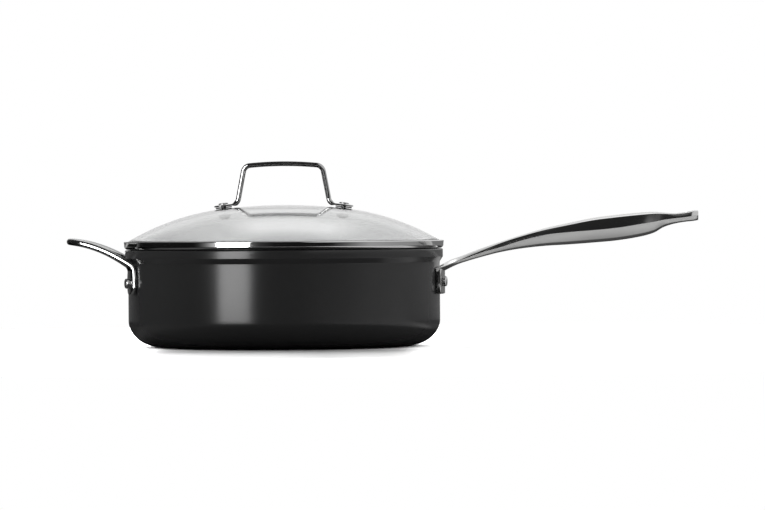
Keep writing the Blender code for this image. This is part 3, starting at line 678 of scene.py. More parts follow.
def blank(outline: Sequence[Point], thickness: float, edge_round: float,
          folds: Sequence[float], segments: int = 4) -> bmesh.types.BMesh:
    """A flat plate with rounded edges, split across at the fold lines.

    Args:
        outline: Its outline.
        thickness: Its thickness, centred on its middle plane.
        edge_round: Rounding of both rims.
        folds: Places along the first axis where it may bend.
        segments: Steps in the rounding.

    Returns:
        The plate.
    """
    shape = raised(outline, -thickness / 2.0, thickness)
    rims = [edge for edge in shape.edges
            if abs(edge.verts[0].co.z - edge.verts[1].co.z) < thickness / 2.0]
    bmesh.ops.bevel(shape, geom=rims, offset=edge_round, segments=segments, profile=0.5,
                    affect="EDGES", material=-1)
    for fold in folds:
        bmesh.ops.bisect_plane(shape, geom=shape.verts[:] + shape.edges[:] + shape.faces[:],
                               dist=0.0000001, plane_co=(fold, 0.0, 0.0),
                               plane_no=(1.0, 0.0, 0.0))
    return shape


def bent(shape: bmesh.types.BMesh,
         bend: Callable[[float, float, float], Sequence[float]]) -> bmesh.types.BMesh:
    """Move every corner of a shape by a bend function."""
    for vert in shape.verts:
        vert.co = bend(*vert.co)
    bmesh.ops.recalc_face_normals(shape, faces=shape.faces[:])
    return shape


def drills(radius: float, length: float, places: Sequence[Matrix]) -> bmesh.types.BMesh:
    """Round bars for cutting holes.

    Args:
        radius: Radius of each.
        length: Length of each, centred on its place.
        places: A place for each, along its own Z axis.

    Returns:
        All the bars in one shape.
    """
    shape = bmesh.new()
    for place in places:
        bmesh.ops.create_cone(shape, cap_ends=True, segments=40, radius1=radius,
                              radius2=radius, depth=length, matrix=place)
    return shape


def as_object(name: str, shape: bmesh.types.BMesh) -> bpy.types.Object:
    """Hand a shape over to a new object in the scene."""
    mesh = bpy.data.meshes.new(name)
    shape.to_mesh(mesh)
    shape.free()
    made = bpy.data.objects.new(name, mesh)
    bpy.context.scene.collection.objects.link(made)
    return made


def combined(shape: bmesh.types.BMesh, tool: bmesh.types.BMesh,
             operation: str) -> bmesh.types.BMesh:
    """Cut one closed shape out of another, or join the two.

    Args:
        shape: The shape that stays.
        tool: The shape that cuts it or joins it.
        operation: DIFFERENCE or UNION.

    Returns:
        The result. Both shapes given are used up.
    """
    kept = as_object("kept", shape)
    other = as_object("other", tool)
    modifier = kept.modifiers.new("cut", "BOOLEAN")
    modifier.operation = operation
    modifier.solver = "EXACT"
    modifier.object = other
    worked = kept.evaluated_get(bpy.context.evaluated_depsgraph_get())
    result = bmesh.new()
    result.from_mesh(worked.to_mesh())
    worked.to_mesh_clear()
    for used in (kept, other):
        mesh = used.data
        bpy.data.objects.remove(used)
        bpy.data.meshes.remove(mesh)
    return result


@dataclass(frozen=True)
class Piece:
    """How one finished piece joins the object."""

    name: str
    body: Body
    nodes: tuple[str, ...]
    slot: Slot
    sharp: float = 32.0

    def make(self, shape: bmesh.types.BMesh,
             materials: Sequence[bpy.types.Material]) -> bpy.types.Object:
        """Turn a shape into this piece.

        Args:
            shape: The finished shape, in place.
            materials: Its materials, by the faces' material index.

        Returns:
            The piece, riding on its body in the place of its solids.
        """
        made = as_object(self.name, shape)
        made.data.shade_smooth()
        made.data.set_sharp_from_angle(angle=math.radians(self.sharp))
        for material in materials:
            made.data.materials.append(material)
        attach(made, self.body.value)
        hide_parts(*self.nodes)
        LOG.info("%s: %d faces", self.name, len(made.data.polygons))
        return made


# The pan


@dataclass
class Pan:
    """The black pan and the steel disc in its underside."""

    wall_radius: float = 0.1338
    wall_thickness: float = 0.0038
    rim_height: float = 0.0834
    rim_flare: float = 0.0027
    rim_band: float = 0.0070
    rim_slope: float = 0.0043
    rim_round: float = 0.0010
    inner_foot_round: float = 0.0020
    inner_top_round: float = 0.0016
    outer_foot_round: float = 0.0010
    outer_top_round: float = 0.0007
    corner_width: float = 0.0272
    corner_height: float = 0.0225
    floor_thickness: float = 0.0047
    disc_radius: float = 0.0920
    disc_thickness: float = 0.0022
    disc_proud: float = 0.0003
    disc_edge: float = 0.0004
    recess_edge: float = 0.0003
    coating_margin: float = 0.0004
    floor_reach: float = 0.1000
    longest_run: float = 0.0030
    rivet_drop: float = 0.0281
    bore_radius: float = 0.0028
    bore_length: float = 0.0200
    turn_steps: int = 256

    @property
    def rivet_level(self) -> float:
        """Height of the handle rivets."""
        return self.rim_height - self.rivet_drop

    @property
    def seat_radius(self) -> float:
        """Radius on which the handles' plates lie."""
        return self.wall_radius + GAP

    @property
    def inner_radius(self) -> float:
        """Radius of the inside of the wall."""
        return self.wall_radius - self.wall_thickness

    @property
    def rim_radius(self) -> float:
        """Outside radius of the rim."""
        return self.wall_radius + self.rim_flare

    def radial(self, radius: float, angle: float) -> Matrix:
        """Place on the wall whose Z axis points outward at the rivets' height."""
        spot = (radius * math.cos(angle), radius * math.sin(angle), self.rivet_level)
        return (Matrix.Translation(spot) @ Matrix.Rotation(angle, 4, "Z")
                @ Matrix.Rotation(math.pi / 2.0, 4, "Y"))

    def bores(self, radius: float, rivets: Mapping[str, float]) -> bmesh.types.BMesh:
        """Cutters for rivet holes, each centred at a radius."""
        return drills(self.bore_radius, self.bore_length,
                      [self.radial(radius, angle) for angle in sorted(rivets.values())])

    def outline(self) -> list[Point]:
        """Inside from the middle of the floor up, and outside down to the recess."""
        floor = self.disc_proud + self.floor_thickness
        corner = (self.wall_radius - self.corner_width, self.disc_proud + self.corner_height)
        inner_corner = (self.corner_width - self.wall_thickness, corner[1] - floor)
        slope_top = self.rim_height - self.rim_band
        slope_foot = slope_top - self.rim_slope
        inner_rim = self.inner_radius + self.rim_flare
        recess = self.disc_radius + GAP
        points = [(0.0, floor)]
        points += arc(corner, inner_corner, -90.0, 0.0, 18)
        points += rounded([
            (self.inner_radius, corner[1], 0.0),
            (self.inner_radius, slope_foot, self.inner_foot_round),
            (inner_rim, slope_top, self.inner_top_round),
            (inner_rim, self.rim_height, self.rim_round),
            (self.rim_radius, self.rim_height, self.rim_round),
            (self.rim_radius, slope_top, self.outer_top_round),
            (self.wall_radius, slope_foot, self.outer_foot_round),
            (self.wall_radius, corner[1], 0.0),
        ])[1:-1]
        points += arc(corner, (self.corner_width, self.corner_height), 0.0, -90.0, 24)
        points += [(recess + self.recess_edge, self.disc_proud),
                   (recess, self.disc_proud + self.recess_edge)]
        points += [(recess, self.disc_thickness + GAP), (0.0, self.disc_thickness + GAP)]
        return refined(points, self.longest_run)

    def build(self, rivets: Mapping[str, float]) -> None:
        """Make the pan and its disc.

        Args:
            rivets: Angles of the four rivets round the wall, by name.
        """
        shell = combined(spun(self.outline(), False, self.turn_steps),
                         self.bores(self.inner_radius, rivets), "DIFFERENCE")
        split = self.inner_radius + self.rim_flare + self.coating_margin
        for face in shell.faces:
            middle = face.calc_center_median()
            reach = math.hypot(middle.x, middle.y)
            inside = reach < split and middle.z > self.disc_thickness + GAP
            facing = middle.x * face.normal.x + middle.y * face.normal.y < 0.0
            coated = inside and (facing or reach < self.floor_reach)
            face.material_index = 1 if coated else 0
        shell_piece = Piece("pan_shell", Body.PAN, ("pan_body",), Slot.HARD_BLACK)
        shell_piece.make(shell, [HardAnodised().material(), NonStick().material()])

        disc = spun(refined(rounded([
            (0.0, self.disc_thickness, 0.0),
            (self.disc_radius, self.disc_thickness, self.disc_edge),
            (self.disc_radius, 0.0, self.disc_edge),
            (0.0, 0.0, 0.0),
        ]), 2.0 * self.longest_run), False, self.turn_steps)
        finish = Steel("turned_base_steel", Grain.TURNED, roughness=0.24, spread=0.14,
                       depth=0.00002, lines=1900.0)
        Piece("sole_disc", Body.PAN, ("base_disc",), Slot.BASE_STEEL).make(
            disc, [finish.material()])


@dataclass(frozen=True)
class RivetForm:
    """Section of a turned rivet with a low domed head and a tapered tail."""

    shank: float
    head: float
    head_height: float
    head_round: float
    dome_share: float
    dome_fall: float
    tail: float
    tail_height: float
    tail_share: float
    tail_round: float
    rim_round: float
    dome_round: float = 0.0020
    rim_fall: float = 0.0004

    def outline(self, seat: float, end: float) -> list[Point]:
        """The section from the top of the head to the foot of the tail.

        Args:
            seat: Height of the head's underside.
            end: Height of the tail's upper side.

        Returns:
            Its points as radius and height.
        """
        top = seat + self.head_height
        foot = end - self.tail_height
        return rounded([
            (0.0, top, 0.0),
            (self.dome_share * self.head, top - self.dome_fall, self.dome_round),
            (self.head, top - self.rim_fall, self.head_round),
            (self.head, seat, self.rim_round),
            (self.shank, seat, 0.0),
            (self.shank, end, 0.0),
            (self.tail, end, self.rim_round),
            (self.tail_share * self.tail, foot, self.tail_round),
            (0.0, foot, 0.0),
        ])


@dataclass
class WallRivet:
    """A rivet through a handle's plate and the pan's wall."""

    pan: Pan
    plate: float
    tail_clearance: float = 0.0004
    form: RivetForm = RivetForm(
        shank=0.0025, head=0.0043, head_height=0.0034, head_round=0.0018, dome_share=0.55,
        dome_fall=0.00012, tail=0.0055, tail_height=0.0012, tail_share=0.82,
        tail_round=0.0012, rim_round=0.0003)
    turn_steps: int = 48

    def build(self, grip: str, rivets: Mapping[str, float],
              material: bpy.types.Material) -> None:
        """Make the rivets of one handle.

        Args:
            grip: The handle's piece.
            rivets: Each rivet's angle round the wall, by the name of its solid.
            material: Their steel.
        """
        inner = math.sqrt(self.pan.inner_radius ** 2
                          - self.form.tail ** 2) - self.tail_clearance
        seat = self.pan.seat_radius + self.plate + GAP - inner
        for node, angle in rivets.items():
            shape = spun(self.form.outline(seat, 0.0), False, self.turn_steps,
                         self.pan.radial(inner, angle))
            side = node.rsplit("_", 1)[-1]
            Piece(f"{grip}_rivet_{side}", Body.PAN, (node,), Slot.RIVET_STEEL).make(
                shape, [material])


# The long handle


@dataclass(frozen=True)
class BarStation:
    """One cross section of the long handle, as shares of its named sizes."""

    along: float
    top: float
    depth: float
    crease: float
    width: float
    keel: float
    crown: float = 0.09


BAR_STATIONS = (
    BarStation(0.005, 0.236, 0.330, 0.44, 2.20, 0.90, 0.30),
    BarStation(0.025, 0.275, 0.320, 0.48, 1.46, 0.85, 0.38),
    BarStation(0.048, 0.312, 0.295, 0.52, 0.82, 0.75, 0.42),
    BarStation(0.080, 0.352, 0.270, 0.50, 0.60, 0.70, 0.40),
    BarStation(0.147, 0.447, 0.325, 0.46, 0.54, 0.65, 0.30),
    BarStation(0.232, 0.557, 0.405, 0.52, 0.56, 0.50, 0.13),
    BarStation(0.313, 0.653, 0.522, 0.41, 0.67, 0.36),
    BarStation(0.405, 0.751, 0.688, 0.38, 0.84, 0.28),
    BarStation(0.498, 0.827, 0.842, 0.43, 0.95, 0.24),
    BarStation(0.592, 0.897, 0.965, 0.50, 1.00, 0.22),
    BarStation(0.686, 0.940, 1.000, 0.51, 0.99, 0.22),
    BarStation(0.776, 0.970, 0.938, 0.48, 0.92, 0.24),
    BarStation(0.830, 0.980, 0.815, 0.48, 0.84, 0.30),
    BarStation(0.866, 0.970, 0.582, 0.50, 0.79, 0.45),
    BarStation(0.907, 0.958, 0.418, 0.49, 0.76, 0.70),
    BarStation(0.952, 0.973, 0.382, 0.50, 0.73, 0.80),
    BarStation(0.986, 0.998, 0.415, 0.52, 0.66, 0.80),
    BarStation(1.000, 0.996, 0.380, 0.52, 0.48, 0.80),
)


@dataclass
class LongHandle:
    """The cast long handle with its curved wall plate and hanging hole."""

    pan: Pan
    reach: float = 0.2219
    rise: float = 0.0593
    depth: float = 0.0220
    width: float = 0.0328
    wrap: float = 0.0250
    sections: int = 110
    plate_width: float = 0.0672
    plate_height: float = 0.0215
    plate_thickness: float = 0.0042
    plate_corner: float = 0.0040
    plate_edge: float = 0.0009
    plate_folds: int = 56
    rivet_inset: float = 0.0091
    hole_length: float = 0.0135
    hole_width: float = 0.0105
    hole_inset: float = 0.0065
    cutter_level: float = 0.0800
    cutter_height: float = 0.0600

    @property
    def rivets(self) -> dict[str, float]:
        """Angle of each rivet round the wall, by the name of its solid."""
        half = self.plate_width / 2.0 - self.rivet_inset
        angle = math.asin(half / (self.pan.seat_radius + self.plate_thickness))
        return {"long_handle_rivet_near": -angle, "long_handle_rivet_far": angle}

    def ring(self, along: float) -> list[Vector]:
        """One cross section, wrapped on the wall near the root.

        Args:
            along: Its place as a share of the reach.

        Returns:
            The ring of points.
        """
        shares = [station.along for station in BAR_STATIONS]

        def value(column: str) -> float:
            """One of the shares at this place."""
            return smooth_value(shares, [getattr(station, column) for station in BAR_STATIONS],
                                along)

        top = self.pan.rivet_level + self.rise * value("top")
        depth = self.depth * value("depth")
        half = self.width * value("width") / 2.0
        keel = half * value("keel")
        crease = top - depth * value("crease")
        bottom = top - depth
        crown = depth * value("crown")
        side = rounded([
            (0.0, top, 0.0),
            (0.50 * half, top - 0.26 * crown, 0.010),
            (0.88 * half, top - crown, 0.0009),
            (half, crease, 0.0005),
            (keel + 0.28 * (half - keel), bottom + 0.22 * (crease - bottom), 0.0060),
            (0.72 * keel, bottom + 0.02 * depth, 0.0020),
            (0.0, bottom, 0.0),
        ], steps=4)
        outline = side + [(-across, level) for across, level in reversed(side[1:-1])]
        reach = self.reach * along
        wrap = 1.0 - ease(reach / self.wrap)
        seat = self.pan.seat_radius
        ring = []
        for across, level in outline:
            held = min(abs(across), seat)
            fall = seat - math.sqrt(seat ** 2 - held ** 2)
            ring.append(Vector((self.pan.wall_radius + reach - wrap * fall, across, level)))
        return ring

    def plate(self) -> bmesh.types.BMesh:
        """The riveted plate, curved to lie on the wall."""
        outline = rounded([
            (aside * self.plate_width / 2.0, up * self.plate_height / 2.0, self.plate_corner)
            for aside, up in ((1, -1), (1, 1), (-1, 1), (-1, -1))], closed=True, steps=6)
        count = self.plate_folds
        folds = [self.plate_width * (step / count - 0.5) for step in range(1, count)]
        middle = self.pan.seat_radius + self.plate_thickness / 2.0

        def bend(along: float, level: float, lift: float) -> Sequence[float]:
            """Wrap one corner on the wall."""
            angle = along / middle
            radius = middle + lift
            return (radius * math.cos(angle), radius * math.sin(angle),
                    self.pan.rivet_level + level)

        return bent(blank(outline, self.plate_thickness, self.plate_edge, folds), bend)

    def hang_hole(self) -> bmesh.types.BMesh:
        """Cutter for the long round-ended hole near the tip."""
        end = self.hole_width / 2.0
        middle = self.hole_length / 2.0 - end
        centre = (self.pan.wall_radius + self.reach - self.hole_inset
                  - self.hole_length / 2.0)
        outline = arc((middle, 0.0), (end, end), -90.0, 90.0, 16)
        outline += arc((-middle, 0.0), (end, end), 90.0, 270.0, 16)
        return raised([(centre + along, across) for along, across in outline],
                      self.cutter_level, self.cutter_height)

    def build(self, rivet_steel: bpy.types.Material) -> None:
        """Make the handle and its two rivets.

        Args:
            rivet_steel: The rivets' material.
        """
        first = BAR_STATIONS[0].along
        rings = [self.ring(first + (1.0 - first) * step / self.sections)
                 for step in range(self.sections + 1)]
        bar = bridged(rings)
        handle = combined(bar, self.plate(), "UNION")
        handle = combined(handle, self.hang_hole(), "DIFFERENCE")
        bores = self.pan.bores(self.pan.seat_radius, self.rivets)
        handle = combined(handle, bores, "DIFFERENCE")
        finish = Steel("cast_handle_steel", Grain.LENGTHWISE, dark=(0.50, 0.50, 0.495),
                       light=(0.58, 0.58, 0.575), roughness=0.07, spread=0.07,
                       depth=0.000004, lines=1500.0, turn=(0.0, -0.24, 0.0))
        Piece("long_grip", Body.PAN, ("long_handle",), Slot.CAST_STEEL, 28.0).make(
            handle, [finish.material()])
        WallRivet(self.pan, self.plate_thickness).build("long_grip", self.rivets, rivet_steel)


# The helper handle


@dataclass
class HelperHandle:
    """The bent loop opposite the long handle, on two riveted feet."""

    pan: Pan
    reach: float = 0.0521
    tip_rise: float = 0.0359
    elbow_reach: float = 0.0232
    elbow_rise: float = 0.0333
    knee_rise: float = 0.0138
    elbow_radius: float = 0.0740
    knee_radius: float = 0.0090
    thickness: float = 0.0054
    edge_round: float = 0.0026
    fullest: float = 0.95
    foot_thickness: float = 0.0040
    foot_width: float = 0.0152
    foot_drop: float = 0.0093
    foot_height: float = 0.0200
    leg_width: float = 0.0092
    grip_width: float = 0.0180
    rivet_spacing: float = 0.0880
    satin_and_shade_facing: float = 0.62
    sections: int = 150
    end_sections: int = 8
    end_crowding: float = 1.5

    @property
    def rivets(self) -> dict[str, float]:
        """Angle of each rivet round the wall, by the name of its solid."""
        angle = math.asin(self.rivet_spacing / 2.0
                          / (self.pan.seat_radius + self.foot_thickness))
        return {"helper_handle_rivet_near": math.pi + angle,
                "helper_handle_rivet_far": math.pi - angle}

    def track(self) -> Track:
        """Side view path, as distance from the pan's axis and height."""
        foot = self.pan.seat_radius + self.foot_thickness / 2.0
        level = self.pan.rivet_level
        wall = self.pan.wall_radius
        corners = [
            (foot, level - self.foot_drop),
            (foot, level + self.knee_rise),
            (wall + self.elbow_reach, level + self.elbow_rise),
            (wall + self.reach, level + self.tip_rise),
        ]
        return Track(corners, (self.knee_radius, self.elbow_radius), 14)

    def stations(self, length: float) -> list[tuple[float, float, float, float]]:
        """Half of the loop laid flat: distance up, aside, half width and thickness."""
        aside = self.rivet_spacing / 2.0
        foot = self.foot_width / 2.0
        leg = self.leg_width / 2.0
        grip = self.grip_width / 2.0
        top = self.foot_height
        thin = self.foot_thickness
        bar = self.thickness
        return [
            (0.0, aside, 0.50 * foot, thin),
            (0.04 * top, aside, 0.74 * foot, thin),
            (0.12 * top, aside, 0.92 * foot, thin),
            (0.25 * top, aside, foot, thin),
            (0.75 * top, aside, foot, thin),
            (top, aside, 0.88 * foot, thin),
            (1.30 * top, 0.975 * aside, 1.20 * leg, 0.5 * (thin + bar)),
            (0.44 * length, 0.91 * aside, leg, bar),
            (0.60 * length, 0.815 * aside, leg, bar),
            (length - 2.20 * grip, 0.715 * aside, 1.15 * leg, bar),
            (length - 1.56 * grip, 0.655 * aside, 0.68 * grip, bar),
            (length - 1.12 * grip, 0.53 * aside, 0.89 * grip, bar),
            (length - grip, 0.27 * aside, grip, bar),
            (length - grip, 0.0, grip, bar),
        ]

    def section(self, half_width: float, half_height: float) -> list[Point]:
        """Ring of a rounded bar laid flat."""
        edge = min(self.edge_round, half_width * self.fullest, half_height * self.fullest)
        ring: list[Point] = []
        for side, level, start in ((1, 1, 0), (-1, 1, 90), (-1, -1, 180), (1, -1, 270)):
            centre = (side * (half_width - edge), level * (half_height - edge))
            ring += arc(centre, (edge, edge), start, start + 90, 5)
        return ring

    def rings(self) -> list[list[Vector]]:
        """Cross sections from one foot round the grip to the other foot."""
        track = self.track()
        half = self.stations(track.length)
        whole = half + [(up, -aside, width, thick) for up, aside, width, thick in half[-2::-1]]
        places = [0.0]
        for before, after in zip(whole, whole[1:]):
            places.append(places[-1] + math.hypot(after[0] - before[0], after[1] - before[1]))

        def station(place: float) -> list[float]:
            """The loop's values at a distance along it."""
            return [smooth_value(places, [row[column] for row in whole], place)
                    for column in range(4)]

        def bend(up: float, aside: float, lift: float) -> Vector:
            """Set one point of the flat loop in place."""
            point, normal = track.at(up)
            radius = point.x - lift * normal.x
            level = point.y - lift * normal.y
            fall = radius - math.sqrt(radius ** 2 - aside ** 2)
            wrap = 1.0 - ease((up - self.foot_height) / (track.length - self.foot_height))
            return Vector((-(radius - wrap * fall), aside, level))

        run = places[3]
        inner = places[-1] - 2.0 * run
        ends = [run * (step / self.end_sections) ** self.end_crowding
                for step in range(self.end_sections)]
        spots = ends + [run + inner * step / self.sections
                        for step in range(self.sections + 1)]
        spots += [places[-1] - place for place in reversed(ends)]
        rings = []
        for spot in spots:
            up, aside, half_width, thick = station(spot)
            step = places[-1] * 0.001
            ahead = station(min(spot + step, places[-1]))
            behind = station(max(spot - step, 0.0))
            along = Vector((ahead[0] - behind[0], ahead[1] - behind[1])).normalized()
            across = Vector((-along.y, along.x))
            rings.append([bend(up + across.x * shift, aside + across.y * shift, lift)
                          for shift, lift in self.section(half_width, thick / 2.0)])
        return rings

    def build(self, rivet_steel: bpy.types.Material) -> None:
        """Make the loop and its two rivets.

        Args:
            rivet_steel: The rivets' material.
        """
        bores = self.pan.bores(self.pan.seat_radius, self.rivets)
        loop = combined(bridged(self.rings()), bores, "DIFFERENCE")
        # Faces that look upward get a rougher satin steel whose darker colour is painted shade
        # on the loop's top.
        for face in loop.faces:
            face.material_index = 1 if face.normal.z > self.satin_and_shade_facing else 0
        polish = Steel("helper_handle_steel", roughness=0.06, spread=0.05, depth=0.000004,
                       lines=1200.0)
        satin_and_shade = Steel("helper_satin_and_shade_top", dark=grey(0.27), light=grey(0.35), roughness=0.30,
                      spread=0.08, depth=0.000008, lines=1900.0)
        Piece("helper_loop", Body.PAN, ("helper_handle",), Slot.CAST_STEEL).make(
            loop, [polish.material(), satin_and_shade.material()])
        WallRivet(self.pan, self.foot_thickness).build("helper_loop", self.rivets,
                                                       rivet_steel)


# The lid


@dataclass
class GlassLid:
    """The glass dome, the folded steel band round it and the soft ring between."""

    pan: Pan
    crown_radius: float = 0.4500
    shoulder_start: float = 0.0500
    shoulder_radius: float = 0.2100
    thickness: float = 0.0040
    proud: float = 0.0005
    bevel: float = 0.0003
    edge_round: float = 0.0004
    rebate_round: float = 0.0002
    rebate_width: float = 0.0014
    dome_steps: int = 54
    bore_radius: float = 0.0026
    bore_length: float = 0.0160
    lip_trim: float = 0.0007
    band_overhang: float = 0.0009
    band_height: float = 0.0073
    band_sheet: float = 0.0007
    band_lip: float = 0.0045
    band_round: float = 0.0009
    band_taper: float = 0.0003
    band_turn: float = 0.0025
    skirt_depth: float = 0.0050
    seal_thickness: float = 0.0011
    seal_chamfer: float = 0.0002
    seal_round: float = 0.0003
    turn_steps: int = 256
    lean: float = field(init=False)
    crown_level: float = field(init=False)
    shoulder_centre: Point = field(init=False)

    def __post_init__(self) -> None:
        """Work out where the two arcs of the dome lie."""
        self.lean = math.asin(self.shoulder_start / self.crown_radius)
        middle = self.shoulder_start - self.shoulder_radius * math.sin(self.lean)
        at_lip = math.sqrt(self.shoulder_radius ** 2 - (self.lip_radius - middle) ** 2)
        base = self.band_top + self.proud - at_lip
        self.shoulder_centre = (middle, base)
        junction = base + self.shoulder_radius * math.cos(self.lean)
        self.crown_level = junction + self.crown_radius * (1.0 - math.cos(self.lean))

    @property
    def band_radius(self) -> float:
        """Outside radius of the band."""
        return self.pan.rim_radius + self.band_overhang

    @property
    def lip_radius(self) -> float:
        """Inside radius of the band's lip on the glass."""
        return self.band_radius - self.band_lip

    @property
    def band_top(self) -> float:
        """Height of the band's top."""
        return self.pan.rim_height + self.band_height

    @property
    def edge_radius(self) -> float:
        """Outside radius of the glass."""
        return self.lip_radius + self.rebate_width

    @property
    def rebate_level(self) -> float:
        """Height of the glass edge under the band's lip."""
        return self.band_top - self.band_sheet - GAP

    @property
    def ground_level(self) -> float:
        """Height of the underside of the glass edge."""
        return self.band_top - self.band_sheet - self.thickness + 0.5 * GAP

    def level(self, radius: float, inset: float = 0.0) -> float:
        """Height of the glass, or of a surface that lies deeper by the inset."""
        if radius <= (self.crown_radius - inset) * math.sin(self.lean):
            deep = self.crown_radius - inset
            return self.crown_level - self.crown_radius + math.sqrt(deep ** 2 - radius ** 2)
        deep = self.shoulder_radius - inset
        return self.shoulder_centre[1] + math.sqrt(
            deep ** 2 - (radius - self.shoulder_centre[0]) ** 2)

    def glass_lean(self, radius: float) -> float:
        """Angle of the glass off level at a radius."""
        if radius <= self.shoulder_start:
            return math.asin(radius / self.crown_radius)
        return math.asin((radius - self.shoulder_centre[0]) / self.shoulder_radius)

    def stack_place(self, spread: float, side: float) -> Matrix:
        """Place square to the glass where a foot of the lid handle stands."""
        spot = (side * spread, 0.0, self.level(spread))
        return (Matrix.Translation(spot)
                @ Matrix.Rotation(side * self.glass_lean(spread), 4, "Y"))

    def glass_outline(self) -> list[Point]:
        """Dome with a ground edge that lies inside the band."""
        wall = self.lip_radius + self.lip_trim - GAP
        outer = self.edge_radius
        rebate = self.rebate_level
        deep = self.shoulder_radius - self.thickness
        inner = self.shoulder_centre[0] + math.sqrt(
            deep ** 2 - (self.ground_level - self.shoulder_centre[1]) ** 2)
        inner = min(inner, outer - GAP)
        steps = self.dome_steps
        last = wall - self.bevel
        points = [(inner * step / steps, self.level(inner * step / steps, self.thickness))
                  for step in range(steps + 1)]
        points += rounded([
            (*points[-1], 0.0),
            (outer, points[-1][1], self.edge_round),
            (outer, rebate, self.rebate_round),
            (wall, rebate, 0.0),
            (wall, self.level(wall) - 0.2 * self.bevel, self.rebate_round),
            (last, self.level(last), 0.0),
        ])[1:-1]
        points += [(last * step / steps, self.level(last * step / steps))
                   for step in reversed(range(steps + 1))]
        return points

    def band_outline(self) -> list[Point]:
        """Closed section of the folded strip, from the lip on the glass to the skirt."""
        half = self.band_sheet / 2.0
        top = self.band_top - half
        outer = self.band_radius - half
        seat = self.pan.rim_height + GAP + half
        skirt = self.pan.inner_radius + self.pan.rim_flare - LID_PLAY - half
        turn = self.band_turn
        curl = turn / 2.0
        corner = self.band_round - half
        line = [(self.lip_radius + self.lip_trim, top)]
        line += arc((outer - corner, top - corner), (corner, corner), 90.0, 0.0, 6)
        line += arc((outer - self.band_taper - turn, seat + turn), (turn, turn),
                    10.0, -70.0, 10)
        line += arc((skirt + curl, seat - curl + half / 2.0), (curl, curl), 100.0, 180.0, 7)
        line.append((skirt, self.pan.rim_height - self.skirt_depth))
        left, right = [], []
        for index, centre in enumerate(line):
            here = Vector(centre)
            inward = here - Vector(line[index - 1]) if index else Vector(line[1]) - here
            outward = Vector(line[index + 1]) - here if index < len(line) - 1 else inward
            along = (inward.normalized() + outward.normalized()).normalized()
            normal = Vector((-along.y, along.x))
            reach = half / max(along.dot(inward.normalized()), 0.5)
            left.append(tuple(here + normal * reach))
            right.append(tuple(here - normal * reach))
        return left + right[::-1]

    def seal_outline(self) -> list[Point]:
        """Section of the soft ring between the glass and the band."""
        rebate = self.rebate_level
        ground = self.ground_level
        foot = self.pan.rim_height + 3.0 * GAP + self.band_sheet
        under = self.edge_radius - 2.0 * self.rebate_width + GAP
        leg = self.edge_radius + GAP
        back = leg + self.seal_thickness
        chamfer = self.seal_chamfer
        return rounded([
            (under, foot + chamfer, self.seal_round),
            (under, ground - GAP, self.rebate_round),
            (leg, ground - GAP, 0.0),
            (leg, rebate, self.rebate_round),
            (back, rebate - 2.0 * chamfer, self.seal_round),
            (back - chamfer, ground - chamfer, self.seal_round),
            (leg - chamfer, foot + 2.0 * chamfer, self.seal_round),
        ], closed=True, steps=3)

    def build(self, spread: float) -> bpy.types.Object:
        """Make the glass, the band and the ring.

        Args:
            spread: Distance of the handle's rivets from the axis.

        Returns:
            The glass dome.
        """
        bores = drills(self.bore_radius, self.bore_length,
                       [self.stack_place(spread, side) for side in (-1.0, 1.0)])
        glass = combined(spun(self.glass_outline(), False, self.turn_steps), bores,
                         "DIFFERENCE")
        dome = Piece("glass_dome", Body.LID, ("lid_glass",), Slot.LID_GLASS).make(
            glass, [TemperedGlass().material()])
        polish = Steel("polished_band_steel", dark=grey(0.60), light=grey(0.66),
                       roughness=0.045, spread=0.05, depth=0.000003, lines=900.0)
        Piece("rim_band", Body.LID, ("lid_band",), Slot.BAND_STEEL, 40.0).make(
            spun(self.band_outline(), True, self.turn_steps), [polish.material()])
        soft = Silicone("milky_silicone_ring", (0.56, 0.56, 0.54), (0.68, 0.68, 0.66), 0.35)
        Piece("glass_edge_ring", Body.LID, ("lid_band_seal",), Slot.CLEAR_SILICONE).make(
            spun(self.seal_outline(), True, self.turn_steps), [soft.material()])
        return dome


